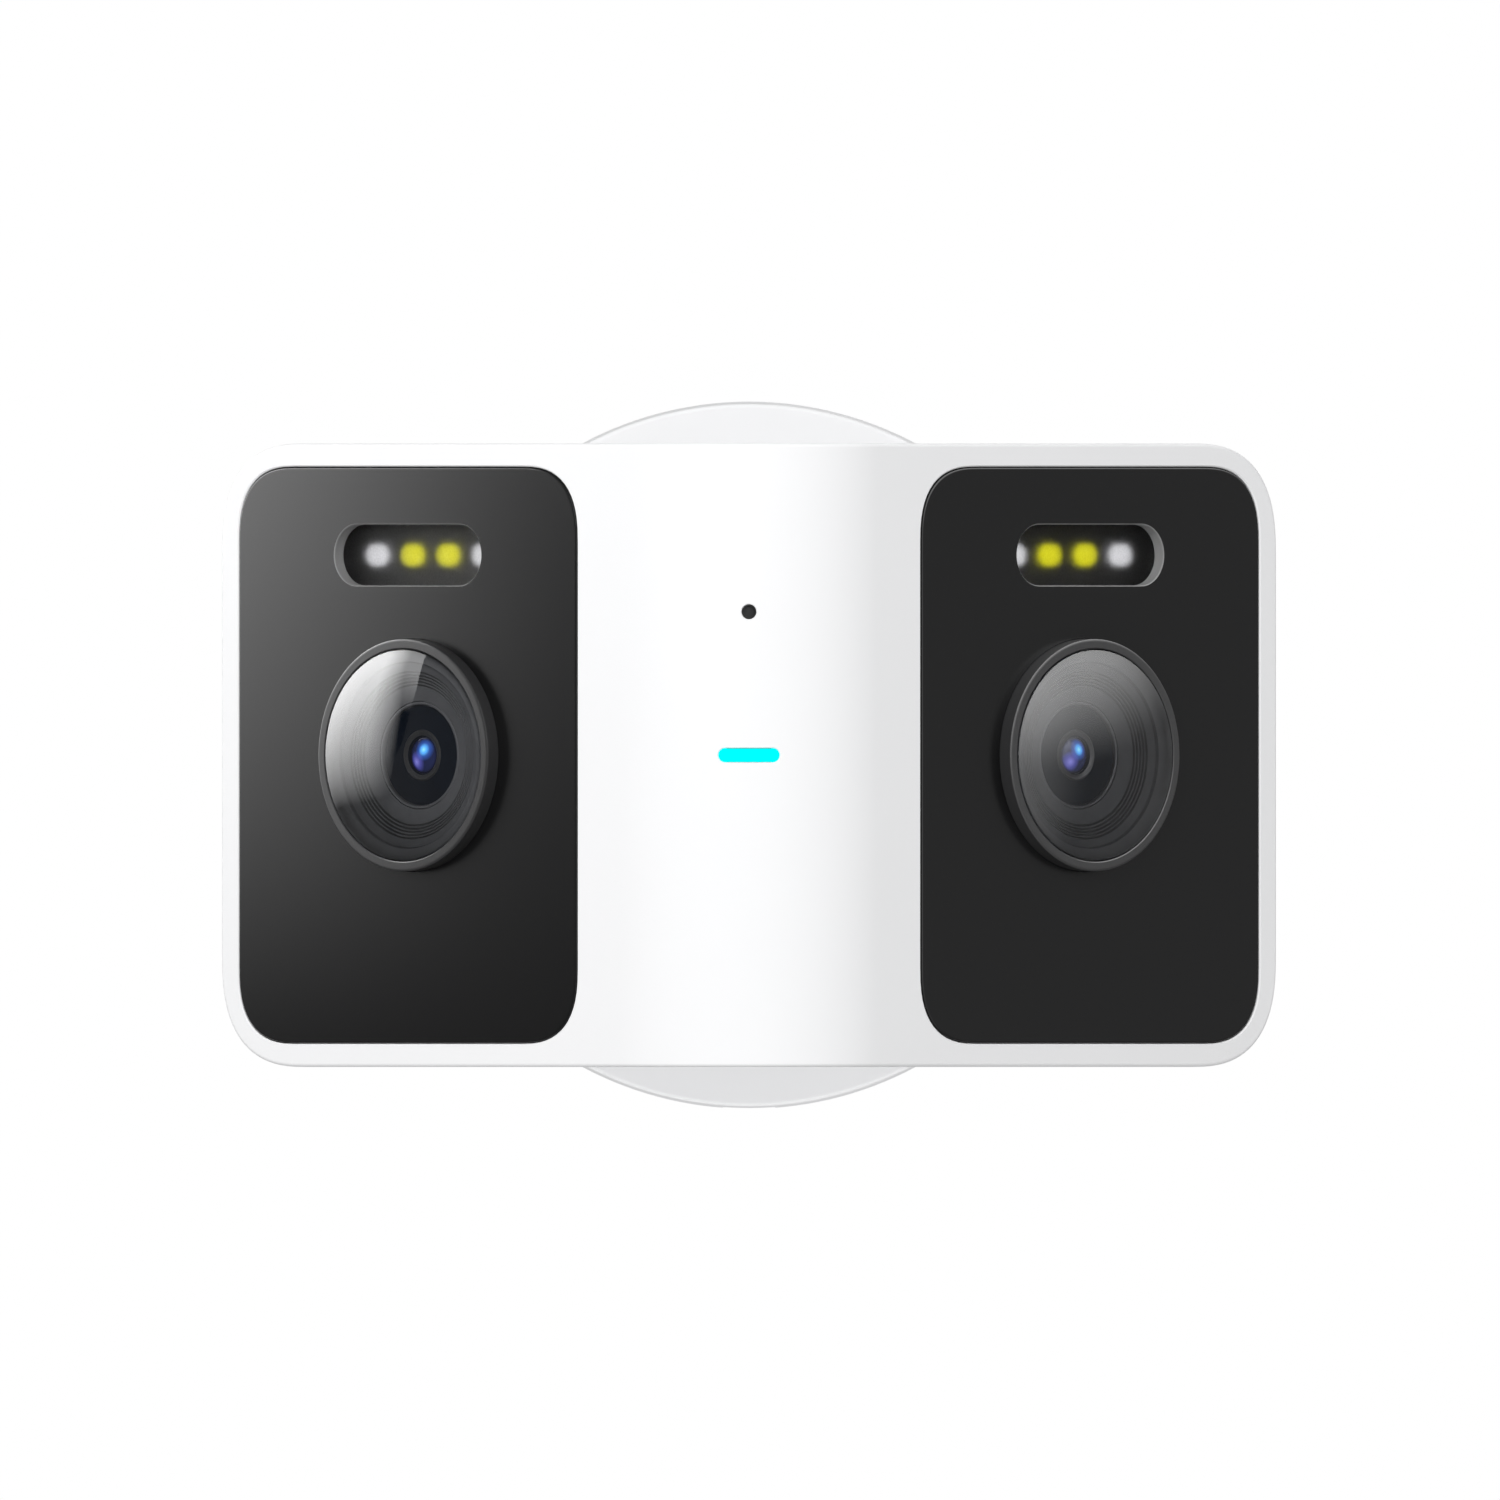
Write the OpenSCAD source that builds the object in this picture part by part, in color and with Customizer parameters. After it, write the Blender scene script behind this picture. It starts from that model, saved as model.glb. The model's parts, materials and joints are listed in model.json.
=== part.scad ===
// Wall-mounted floodlight security camera with a two-winged head, a tilting and swivelling arm
// and a round mains base. Millimetres, +Z up, the front faces -Y and the wall is the plane y = 0.

/* [Camera head] */
// Height of the head
head_h = 100; // [96:1:104]
// Angle by which each wing bends back from the front
wing_angle = 43; // [41:1:45]
// Radius of the rounded nose, which is also the thickness of each wing
nose_r = 30; // [30:0.5:32]
// Length of a wing from the nose to its outer edge
wing_len = 87.9; // [86:0.1:90]
// Wall thickness of both shells
wall = 3; // [2.6:0.1:3.2]
// Corner radius of the wings, seen square on
corner_r = 18; // [14:1:20]
// Radius of the rounded back edge
back_r = 7; // [6:0.5:7]

/* [Face panels] */
// Width of a black face panel
panel_w = 74; // [72:0.5:74]
// Height of a black face panel
panel_h = 92.3; // [90:0.1:92.3]
// Thickness of a face panel
panel_t = 2.1; // [1.8:0.1:2.4]
// Corner radius of a face panel
panel_r = 12.2; // [10:0.1:14]
// Distance from a panel's outer edge to the wing's edge
panel_margin = 4; // [3.5:0.1:5]

/* [Optics] */
// Outer diameter of the raised lens ring
ring_d = 37.3; // [36:0.1:38]
// Width of the lens ring's front face
ring_w = 1.6; // [1.4:0.1:2]
// Height of the lens ring above the panel
ring_up = 2.5; // [2:0.1:3]
// Rise of the dome glass above the ring
dome_up = 3; // [2:0.1:4]
// Distance of the lens axis from the panel's middle, towards the nose
lens_shift = 1.2; // [0:0.1:1.5]
// Diameter of the lens barrel
barrel_d = 17.2; // [16:0.1:18]

/* [LED windows] */
// Length of an LED window
lamp_w = 32.1; // [31:0.1:33]
// Height of an LED window
lamp_h = 9.8; // [9:0.1:10]
// Height of the LED windows above the head's middle
lamp_z = 32.1; // [31:0.1:33]
// Distance from one LED to the next
led_pitch = 7.75; // [7.5:0.05:8]
// Depth of the LEDs' tops behind the panel's face
led_depth = 5.5; // [5.2:0.1:6]

/* [Nose] */
// Length of the status light bar
bar_w = 9.8; // [8:0.1:11]
// Height of the status light bar
bar_h = 2.13; // [2:0.01:2.5]
// Diameter of the microphone hole
mic_d = 2.4; // [2:0.1:2.6]
// Height of the microphone hole above the head's middle
mic_z = 23; // [20:0.5:24]

/* [Base and arm] */
// Diameter of the base at the wall
base_d = 113.4; // [110:0.1:116]
// Depth of the base, from the wall to its front
base_t = 22; // [22:0.5:24]
// Distance from the base's front to the tilt axis
arm_reach = 40; // [40:0.5:44]
// Distance from the tilt axis forward to the axis of the nose
head_reach = 32; // [32:0.5:34]
// Diameter of the tilt bolt
tilt_bolt_d = 5; // [5:0.1:5.2]
// Width of the cable notch in the base's rim
notch_w = 8.4; // [8:0.1:9]

/* [Hidden] */
$fn = 64;

// Colours
shell_white = [0.95, 0.95, 0.96];
panel_black = [0.05, 0.05, 0.055];
part_black = [0.1, 0.1, 0.11];
steel = [0.72, 0.73, 0.75];
board_green = [0.1, 0.35, 0.2];

// Clearances
slide_gap = 0.15;
run_gap = 0.05;
face_gap = 0.1;
cut = 1;

// Places along Y
pivot_y = -(base_t + arm_reach);
nose_y = pivot_y - head_reach;
head_half = head_h / 2;

// Depths behind a wing's front face
wing_t = nose_r;
back_flat = 0.5;
split_t = wing_t - back_r - back_flat;
tape_t = 0.3;
tape_inset = 1;
recess_t = panel_t + tape_t;
pan_t = 2;
pan_back = recess_t + pan_t;
corner_steps = 6;
corner_softness = 2.6;
back_steps = 4;
apex_r = 0.1;
mitre_reach = 12;

// Places along a wing, from the tangent line of the nose
panel_x = wing_len - panel_margin - panel_w / 2;
lens_x = panel_x - lens_shift;
panel_reach = 2;

// Lens stack: radii, and depths behind the wing's front face
ring_r = ring_d / 2;
glass_r = ring_r - ring_w;
ring_edge = 0.4;
dome_t = 1.2;
glass_back = -ring_up + dome_t;
ring_foot_r = ring_r + 2;
ring_foot_back = pan_back + 1.5;
barrel_r = barrel_d / 2;
barrel_front = 1.5;
barrel_back = 11;
barrel_bore_r = 6;
rim_r = 8.3;
dish_r0 = 4.1;
dish_r1 = 8.1;
dish_depth = 0.5;
dish_slope = 0.4;
seat_back = barrel_front + 3.5;
element_r = 2.95;
element_bulge_r = 4;
element_sink = 0.4;
element_t = 3;
step_r = 14.8;
step_back = -0.74;
groove_r0 = 11.2;
groove_r1 = 13.35;
groove_count = 5;
groove_front = -0.4;
groove_step = 0.2;
baffle_back = barrel_front + 2;
holder_front = 9;
holder_back = 13;
holder_w = 22;
sensor_back = holder_back + 1.2;
sensor_w = 24;
chip_half_w = 4;
chip_half_h = 3.5;
chip_t = 1;

// LED stack
window_t = 1.5;
window_rim = 1.8;
window_w = lamp_w + 2 * window_rim;
window_h = lamp_h + 2 * window_rim;
led_w = 5;
led_h = 3.6;
led_t = 0.9;
led_board_front = led_depth + led_t;
led_board_back = led_board_front + 1.6;
led_board_w = 34;
led_board_h = 12;
sensor_place = 15.2;
sensor_half = 1;
sensor_rise = 0.7;

// Inner plates and boards
board_t = 1.6;
board_front = 16.1;
board_back = board_front + board_t;
board_x0 = 22;
board_x1 = 70;
board_z0 = -40;
board_z1 = 22;
sink_t = 2;
sink_front = 20.2;
sink_back = sink_front + sink_t;
sink_half = 34;
sink_reach = 70;
foot_half_w = 13;
foot_half_h = 4.5;
antenna_low = [72, 14, 6];
antenna_high = [82, 14.8, 32];

// Ribbon cables from the sensor boards
ribbon_t = 0.3;
ribbon_half = 4;
ribbon_z0 = 6;
ribbon_z1 = 11;
ribbon_overlap_l = 8;
ribbon_overlap_r = 10;
plug_x0 = 24;
plug_x1 = 27;
side_plug_x0 = 28;
side_plug_x1 = 31;
plug_t = 0.6;

// Nose parts
flange_t = 1;
flange_half_w = 6.5;
flange_half_h = 2;
pipe_gap = 0.2;
status_depth = 7;
status_t = 1.2;
status_half_w = 8;
status_z0 = -8;
status_z1 = 30;
status_led_half = 1;
status_led_t = 0.7;
boot_t = 0.3;
boot_lip = 0.1;
mic_can_r = 3;
mic_can_gap = 0.5;
mic_chamber_depth = 5.5;

// Speaker in the right wing, and the holes below it
speaker_x = 46;
speaker_t = 12;
speaker_w = 24;
speaker_l = 13;
speaker_h = 5;
speaker_rim = 1;
speaker_dish = 0.8;
speaker_z = -head_half + wall + face_gap;
grille_r = 0.8;
grille_columns = 3;
grille_rows = 1;
grille_pitch_x = 3;
grille_pitch_t = 3.5;

// Screws, and the shell screws' places, three in each wing
screw_r = 1.45;
screw_hole_r = 1.5;
screw_head_r = 2.8;
screw_head_hole_r = 3.2;
screw_head_t = 2;
screw_seat = 2.6;
driver_r = 1;
driver_depth = 1.2;
boss_r = 3.5;
boss_hole_t = 12;
screw_tip_t = 13;
bracket_screw_len = 6.5;
bracket_hole_len = 7;
bracket_head_t = 1.6;
shell_screw_places = [[16, 39.5], [16, -39.5], [77, 0]];

// Gasket between the shells
gasket_inset0 = 1.1;
gasket_inset1 = 2;
gasket_depth = 1;

// Card door in the underside of the left wing
door_x0 = 34;
door_x1 = 62;
door_t0 = 8;
hinge_t = 18.8;
hinge_r = 1.2;
hinge_z = -head_half + hinge_r;
hinge_pin_r = 0.6;
hinge_pin_reach = 1.2;
door_t = 2;
door_recess = 2.8;
door_floor_z = -head_half + door_recess;
door_wall = 4;
door_wall_back = 1.6;
door_wall_top = 1.8;
card_x = 47;
card_w = 11;
card_h = 15;
card_t = 0.8;
card_depth = 14.2;
card_z0 = -46.9;
card_push = 0.8;
card_gap = 0.4;
socket_wall = 1.2;
socket_front = 12.9;
socket_z = -42;
socket_top_t = 1;
socket_slack = 0.3;
button_x = 57;
button_depth = 13;
button_r = 1.5;
button_len = 6;
button_lift = 0.2;
button_collar_r = 2.4;
button_collar_t = 0.8;
switch_half = 3;
switch_depth = 2;
switch_h = 3.5;

// Spine behind the nose, and the tilt joint
spine_y = 15;
spine_half_w = spine_y / tan(wing_angle);
spine_half_h = 24;
spine_edge = 1;
spine_root = -4;
spine_room_root = -8;
wire_z = 7.2;
wire_r = 3.3;
tongue_half = 7.2;
knuckle_r = 11.5;
washer_t = 0.8;
ear_x0 = tongue_half + washer_t + face_gap + face_gap;
ear_x1 = ear_x0 + 5;
plate_t = 3;
plate_half_w = 15;
plate_half_h = 22;
bracket_screw_x = 11;
bracket_screw_z = 17;
bolt_r = tilt_bolt_d / 2;
cap_r = 6;
cap_h = 5.2;
cap_edge = 1;
cap_wall = 1.1;
bolt_tail = 3.6;
bolt_head_r = 4.25;
bolt_head_t = 4;
hex_r = 2.3;
hex_depth = 2.5;
nut_hex_r = 4.6;
nut_hex_t = 3.2;

// Arm: heights above the wall
arm_bore_r = 9;
arm_bore_roof = 6;
stem_r = 14;
stem_edge = 2;
stem_gap = 3;
stem_foot_r = 15.5;
stem_foot_h = 1.5;
stem_foot_top = 8;
seal_r = 0.65;
seal_z = 20.9;
seal_groove_depth = 1.4;
seal_groove_half = 0.7;

// Base: heights above the wall
base_r = base_d / 2;
base_draft = 0.35;
base_edge = 0.7;
base_wall = 2.5;
gasket_r0 = 50.4;
gasket_t = 2.2;
bracket_r = 50;
bracket_t = 2;
bush_r = 15.5;
bush_flange_r = 18.5;
bush_flange_t = 1.5;
shank_r = 13.95;
bush_bore_r = shank_r + run_gap;
arm_flange_r = 19;
arm_flange_t = 2.4;
arm_edge = 0.8;
arm_flange_z = base_t + bush_flange_t + face_gap;
cover_face_t = 3;
cover_inside = base_t - cover_face_t;
nut_t = 4;
nut_r = 18.5;
nut_slot = 1.5;
wave_t = 1.2;
wave_r = 18;
boss_ring_r0 = 20;
boss_ring_r1 = 24;
boss_ring_h = 2;
lip_t = 2;
pillar_r = 3.2;
pillar_hole_r = 1.25;
bush_lift = 0.2;
nut_top = cover_inside - wave_t - face_gap;
cover_screw_z = 8;
cover_screw_sink = 1.2;
cover_screw_tip = 46.5;
cover_screw_head_t = 1.1;
notch_h = 7;
notch_round = 1.5;
notch_depth = 9;
notch_clear = 0.5;
board_face = 16;
power_board_r = 48.5;
power_board_half_w = 40;
power_board_z0 = 21;
power_screw_places = [[-36, 26], [36, 26], [0, 44.5]];
power_screw_r = 1.2;
power_screw_hole_r = 1.4;
power_screw_head_r = 2.3;
power_screw_head_t = 1.4;
power_screw_tip = 18.8;
transformer_z = 31;
capacitor_x = 25;
capacitor_z = 33;
capacitor_r = 5;
capacitor_h = 11;
terminal_pitch = 8;
terminal_z = -26.5;
terminal_half_w = 13;
terminal_half_h = 7;
terminal_t = 12;
terminal_screw_z = 3.5;
terminal_screw_r = 1.5;
terminal_hole_r = 1.7;
terminal_wire_r = 1.6;
terminal_wire_depth = 4;
earth_x = 20;
earth_z = -36;
earth_r = 1.9;
earth_head_r = 3.6;
earth_depth = 3;
earth_head_t = 2;
tab_x = 48;
tab_t = 1.6;
tab_half = 6;
tab_h = 14;
box_screw_spacing = 60.3;
wall_screw_pcd = 84;
wall_hole_r = 2.25;
wire_entry_r = 11;

// ---------------------------------------------------------------- helpers

// Points of a quarter of a soft-cornered outline, from its side round to its top
function soft_arc(r) = [
    for (i = [0:corner_steps])
        let (a = 90 * i / corner_steps)
            [r * pow(cos(a), 2 / corner_softness), r * pow(sin(a), 2 / corner_softness)]
];
function reversed(points) = [for (i = [len(points) - 1:-1:0]) points[i]];
function placed(points, x, z, sx, sz) = [for (p = points) [x + sx * p[0], z + sz * p[1]]];

// Outline of a wing from its inner end, set in by inset on its three free sides
function wing_points(inset, inner = 0) =
    let (
        r = corner_r - inset,
        x = wing_len - inset - r,
        z = head_half - inset
    )
    concat(
        [[inner, -z]],
        placed(reversed(soft_arc(r)), x, -(z - r), 1, -1),
        placed(soft_arc(r), x, z - r, 1, 1),
        [[inner, z]]
    );

// Inset and depth of the rounded back edge at angle a, for a skin set in by inset
function back_inset(inset, a) = back_r - (back_r - inset) * cos(a);
function back_depth(inset, a) = split_t + back_flat + (back_r - inset) * sin(a);

// Soft-cornered rectangle, centred
module soft_rect(w, h, r) {
    x = w / 2 - r;
    z = h / 2 - r;
    polygon(concat(
        placed(soft_arc(r), x, z, 1, 1),
        placed(reversed(soft_arc(r)), -x, z, -1, 1),
        placed(soft_arc(r), -x, -z, -1, -1),
        placed(reversed(soft_arc(r)), x, -z, 1, -1)
    ));
}

// Round-ended bar, centred
module round_bar(w, h) {
    square([w - h, h], center = true);
    for (side = [-1, 1])
        translate([side * (w - h) / 2, 0])
            circle(d = h);
}

// Children in the frame of one wing: x along the wing, y the depth behind its face, z up
module wing(side) {
    mirror([side < 0 ? 1 : 0, 0, 0])
        translate([0, nose_y, 0])
            rotate([0, 0, wing_angle])
                translate([0, -nose_r, 0])
                    children();
}

// Flat outline in x and z, made solid between two depths along y
module between(y0, y1) {
    translate([0, y1, 0])
        rotate([90, 0, 0])
            linear_extrude(y1 - y0)
                children();
}

// Profile in radius and depth, turned about an axis that runs along y at x, z
module turned_in(x, z) {
    translate([x, 0, z])
        rotate([-90, 0, 0])
            rotate_extrude()
                children();
}

// Profile in radius and height above the wall, turned about the base's axis
module turned() {
    rotate([90, 0, 0])
        rotate_extrude($fn = 96)
            children();
}

// Plain ring profile
module band(r0, r1, z0, z1) {
    translate([r0, z0])
        square([r1 - r0, z1 - z0]);
}

// Cylinder along y between two depths
module rod(x, z, r, y0, y1) {
    translate([x, y0, z])
        rotate([-90, 0, 0])
            cylinder(r = r, h = y1 - y0);
}

// Cylinder along x between two places
module cross_rod(r, x0, x1, sides = $fn) {
    translate([x0, pivot_y, 0])
        rotate([0, 90, 0])
            cylinder(r = r, h = x1 - x0, $fn = sides);
}

// Screw along y, from its tip to its seat, with its head beyond the seat and a driver recess
module screw_in(x, z, tip, seat, head_t) {
    top = seat + head_t;
    difference() {
        union() {
            rod(x, z, screw_r, tip, seat + face_gap);
            rod(x, z, screw_head_r, seat, top);
        }
        rod(x, z, driver_r, top - driver_depth, top + cut);
    }
}

// Block between two corners
module block(low, high) {
    translate(low)
        cube(high - low);
}

// Profile in radius and height, turned about the axis of the nose from wing to wing
module round_nose() {
    translate([0, nose_y, 0])
        rotate([0, 0, -90 - wing_angle])
            rotate_extrude(angle = 2 * wing_angle, $fn = 96)
                children();
}

// Round nose between two depths, of a given half height
module nose(t0, t1, half_h) {
    round_nose()
        band(nose_r - t1, nose_r - t0, -half_h, half_h);
}

// Wings between two depths and the whole nose behind the first depth, set in by inset
module head_front(t0, t1, inset) {
    nose(t0, nose_r - apex_r, head_half - inset);
    for (side = [-1, 1])
        wing(side)
            between(t0, t1)
                polygon(wing_points(inset));
}

// All the room behind the split
module rear_room() {
    for (side = [-1, 1])
        mitred(side)
            block([-mitre_reach, split_t, -head_half - cut], [wing_len, wing_t + cut, head_half + cut]);
}

// Shape in a wing's frame, cut off where it meets the other wing's
module mitred(side) {
    mirror([side < 0 ? 1 : 0, 0, 0])
        intersection() {
            wing(1)
                children();
            block([0, nose_y - head_h, -head_h], [head_h, nose_y + head_h, head_h]);
        }
}

// Flat slice of both wings behind the split, set in by inset, between two depths
module rim(t0, t1, inset) {
    for (side = [-1, 1])
        mitred(side)
            between(t0, t1)
                polygon(wing_points(inset, -mitre_reach));
}

// Rounded back of the head, from the split between the shells
module head_back(inset) {
    edge = [for (i = [0:back_steps]) 90 * i / back_steps];
    depths = concat([split_t], [for (a = edge) back_depth(inset, a)]);
    insets = concat([inset], [for (a = edge) back_inset(inset, a)]);
    last = len(depths) - 1;
    tops = [for (i = [0:last]) [depths[i], head_half - insets[i]]];
    for (side = [-1, 1])
        mitred(side)
            intersection() {
                between(split_t, depths[last])
                    polygon(wing_points(inset, -mitre_reach));
                translate([-mitre_reach, 0, 0])
                    rotate([90, 0, 90])
                        linear_extrude(mitre_reach + wing_len)
                            polygon(concat(tops, reversed([for (p = tops) [p[0], -p[1]]])));
                translate([0, 0, -head_half])
                    linear_extrude(head_h)
                        polygon(concat(
                            [[-mitre_reach, split_t]],
                            [for (i = [0:last]) [wing_len - insets[i], depths[i]]],
                            [[-mitre_reach, depths[last]]]
                        ));
            }
}

// Spine block that carries the tilt bracket
module spine() {
    translate([0, nose_y, -spine_half_h])
        linear_extrude(2 * spine_half_h)
            polygon([
                [0, spine_root],
                [spine_half_w, spine_y - spine_edge],
                [spine_half_w, spine_y],
                [-spine_half_w, spine_y],
                [-spine_half_w, spine_y - spine_edge]
            ]);
}

// ---------------------------------------------------------------- camera head

module front_shell() {
    color(shell_white)
        difference() {
            union() {
                difference() {
                    head_front(0, split_t, 0);
                    head_front(wall, split_t + cut, wall);
                    rear_room();
                }
                for (side = [-1, 1])
                    wing(side)
                        panel_pan();
                wing(-1)
                    door_housing();
            }
            for (side = [-1, 1])
                wing(side) {
                    between(-cut, recess_t)
                        translate([panel_x, 0])
                            soft_rect(panel_w + 2 * slide_gap, panel_h + 2 * slide_gap, panel_r);
                    rod(lens_x, 0, ring_r + slide_gap, 0, pan_back + cut);
                    between(0, pan_back + cut)
                        translate([panel_x, lamp_z])
                            round_bar(window_w + slide_gap, window_h + slide_gap);
                    for (place = shell_screw_places)
                        rod(place[0], place[1], screw_hole_r, boss_hole_t, split_t + cut);
                }
            nose_holes();
            wing(1)
                speaker_grille();
            wing(-1)
                door_cuts();
        }
}

// Floor under a face panel, with the bosses that take the shell screws
module panel_pan() {
    between(recess_t - cut, pan_back)
        translate([panel_x, 0])
            soft_rect(panel_w + 2 * panel_reach, panel_h + 2 * panel_reach, panel_r + panel_reach);
    for (place = shell_screw_places)
        rod(place[0], place[1], boss_r, pan_back - cut, split_t);
}

// Microphone hole and status light slot in the nose
module nose_holes() {
    front = nose_y - nose_r;
    rod(0, mic_z, mic_d / 2, front - cut, front + wall + cut);
    between(front - cut, front + wall + cut)
        round_bar(bar_w + slide_gap, bar_h + slide_gap);
}

// Holes for the speaker in the underside of the right wing
module speaker_grille() {
    for (column = [-grille_columns:grille_columns], row = [-grille_rows:grille_rows])
        translate([
            speaker_x + grille_pitch_x * column,
            speaker_t + grille_pitch_t * row,
            -head_half - cut
        ])
            cylinder(r = grille_r, h = wall + 2 * cut);
}

// Thicker wall round the card door, inside the head
module door_housing() {
    block(
        [door_x0 - door_wall, pan_back - cut, -head_half + cut],
        [door_x1 + door_wall, hinge_t + hinge_r + door_wall_back, door_floor_z + door_wall_top]
    );
}

// Recess, hinge sockets, card slot and button hole behind the card door
module door_cuts() {
    block(
        [door_x0 - slide_gap, door_t0, -head_half - cut],
        [door_x1 + slide_gap, hinge_t + hinge_r + slide_gap, door_floor_z]
    );
    translate([door_x0 - hinge_pin_reach - 2 * slide_gap, hinge_t, hinge_z])
        rotate([0, 90, 0])
            cylinder(
                r = hinge_pin_r + run_gap,
                h = door_x1 - door_x0 + 2 * hinge_pin_reach + 4 * slide_gap
            );
    block(
        [card_x - card_w / 2 - card_gap, card_depth - card_t / 2 - card_gap, door_floor_z - cut],
        [card_x + card_w / 2 + card_gap, card_depth + card_t / 2 + card_gap, door_floor_z + 2 * wall]
    );
    translate([button_x, button_depth, door_floor_z - cut])
        cylinder(r = button_r + run_gap, h = 2 * wall);
}

module rear_shell() {
    color(shell_white)
        difference() {
            union() {
                difference() {
                    union() {
                        head_back(0);
                        spine();
                    }
                    head_back(wall);
                    translate([0, nose_y, -spine_half_h + wall])
                        linear_extrude(2 * (spine_half_h - wall))
                            polygon([
                                [0, spine_room_root],
                                [spine_half_w / 2, spine_y - wall],
                                [-spine_half_w / 2, spine_y - wall]
                            ]);
                }
                for (side = [-1, 1])
                    wing(side)
                        for (place = shell_screw_places)
                            rod(place[0], place[1], boss_r + 1, split_t, wing_t - cut);
            }
            for (side = [-1, 1])
                wing(side)
                    for (place = shell_screw_places) {
                        rod(place[0], place[1], screw_hole_r + face_gap, split_t - cut, wing_t + cut);
                        rod(place[0], place[1], screw_head_hole_r, wing_t - screw_seat, wing_t + cut);
                    }
            for (x = [-bracket_screw_x, bracket_screw_x], z = [-bracket_screw_z, bracket_screw_z])
                rod(x, z, screw_hole_r, nose_y + spine_y - bracket_hole_len, nose_y + spine_y + cut);
            rod(0, wire_z, wire_r, nose_y + spine_y - wall - cut, nose_y + spine_y + cut);
            gasket_groove(gasket_inset0 - face_gap, gasket_inset1 + face_gap, gasket_depth + face_gap);
        }
}

// Band that follows the head's free edges, in the rear shell's rim
module gasket_groove(inset0, inset1, depth) {
    difference() {
        rim(split_t, split_t + depth, inset0);
        rim(split_t - cut, split_t + depth + cut, inset1);
    }
}

module shell_gasket() {
    color(part_black)
        gasket_groove(gasket_inset0, gasket_inset1, gasket_depth);
}

module shell_screws() {
    color(steel)
        for (side = [-1, 1])
            wing(side)
                for (place = shell_screw_places)
                    screw_in(place[0], place[1], screw_tip_t, wing_t - screw_seat, screw_head_t);
}

// ---------------------------------------------------------------- face panels and lenses

module face_panel(side) {
    color(panel_black)
        wing(side)
            difference() {
                between(0, panel_t)
                    translate([panel_x, 0])
                        soft_rect(panel_w, panel_h, panel_r);
                rod(lens_x, 0, ring_r + face_gap, -cut, panel_t + cut);
                between(-cut, panel_t + cut)
                    translate([panel_x, lamp_z])
                        round_bar(lamp_w, lamp_h);
            }
}

module panel_tapes() {
    color(part_black)
        for (side = [-1, 1])
            wing(side)
                difference() {
                    between(panel_t, recess_t)
                        translate([panel_x, 0])
                            soft_rect(panel_w - 2 * tape_inset, panel_h - 2 * tape_inset, panel_r - tape_inset);
                    rod(lens_x, 0, ring_r + tape_inset, 0, recess_t + cut);
                    between(0, recess_t + cut)
                        translate([panel_x, lamp_z])
                            round_bar(window_w + tape_inset, window_h + tape_inset);
                }
}

module lens_ring(side) {
    color(part_black)
        wing(side)
            turned_in(lens_x, 0)
                polygon([
                    [glass_r, -ring_up + ring_edge / 2],
                    [glass_r + ring_edge / 2, -ring_up],
                    [ring_r - ring_edge, -ring_up],
                    [ring_r, -ring_up + ring_edge],
                    [ring_r, pan_back],
                    [ring_foot_r, pan_back],
                    [ring_foot_r, ring_foot_back],
                    [glass_r, ring_foot_back]
                ]);
}

module lens_dome(side) {
    rise_r = (glass_r * glass_r + dome_up * dome_up) / (2 * dome_up);
    middle = -ring_up - dome_up + rise_r;
    color([0.3, 0.32, 0.36, 0.4])
        wing(side)
            intersection() {
                rod(lens_x, 0, glass_r - run_gap, -ring_up - dome_up - cut, glass_back);
                difference() {
                    translate([lens_x, middle, 0])
                        sphere(r = rise_r);
                    translate([lens_x, middle, 0])
                        sphere(r = rise_r - dome_t);
                }
            }
}

module lens_baffle(side) {
    groove_w = (groove_r1 - groove_r0) / groove_count;
    barrel_hole_r = barrel_r + face_gap;
    color(part_black)
        wing(side)
            turned_in(lens_x, 0)
                polygon(concat(
                    [
                        [glass_r - run_gap, glass_back],
                        [step_r, glass_back],
                        [step_r, step_back]
                    ],
                    [
                        for (i = [0:groove_count], step = [0, 1])
                            [groove_r1 - i * groove_w, groove_front + (i + step) * groove_step]
                    ],
                    [
                        [barrel_hole_r, barrel_front],
                        [barrel_hole_r, baffle_back],
                        [glass_r - run_gap, baffle_back]
                    ]
                ));
}

module lens_barrel(side) {
    color(part_black)
        wing(side)
            turned_in(lens_x, 0)
                polygon([
                    [element_r, barrel_front + dish_depth + dish_slope],
                    [dish_r0, barrel_front + dish_depth + dish_slope / 2],
                    [dish_r1, barrel_front + dish_depth],
                    [rim_r, barrel_front],
                    [barrel_r, barrel_front],
                    [barrel_r, barrel_back],
                    [barrel_bore_r, barrel_back],
                    [barrel_bore_r, seat_back],
                    [element_r, seat_back]
                ]);
}

module front_element(side) {
    apex = barrel_front + element_sink;
    color([0.2, 0.25, 0.55, 0.5])
        wing(side)
            intersection() {
                rod(lens_x, 0, element_r, apex - cut, barrel_front + element_t);
                translate([lens_x, apex + element_bulge_r, 0])
                    sphere(r = element_bulge_r);
            }
}

module lens_holders() {
    color(part_black)
        for (side = [-1, 1])
            wing(side)
                difference() {
                    block(
                        [lens_x - holder_w / 2, holder_front, -holder_w / 2],
                        [lens_x + holder_w / 2, holder_back, holder_w / 2]
                    );
                    rod(lens_x, 0, barrel_r, holder_front - cut, barrel_back);
                    rod(lens_x, 0, barrel_bore_r, holder_front, holder_back + cut);
                }
}

// Camera sensor boards, each with its image sensor inside the lens holder
module sensor_boards() {
    color(board_green)
        for (side = [-1, 1])
            wing(side) {
                block(
                    [lens_x - sensor_w / 2, holder_back, -sensor_w / 2],
                    [lens_x + sensor_w / 2, sensor_back, sensor_w / 2]
                );
                block(
                    [lens_x - chip_half_w, holder_back - chip_t, -chip_half_h],
                    [lens_x + chip_half_w, holder_back, chip_half_h]
                );
            }
}

// ---------------------------------------------------------------- LEDs

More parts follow.
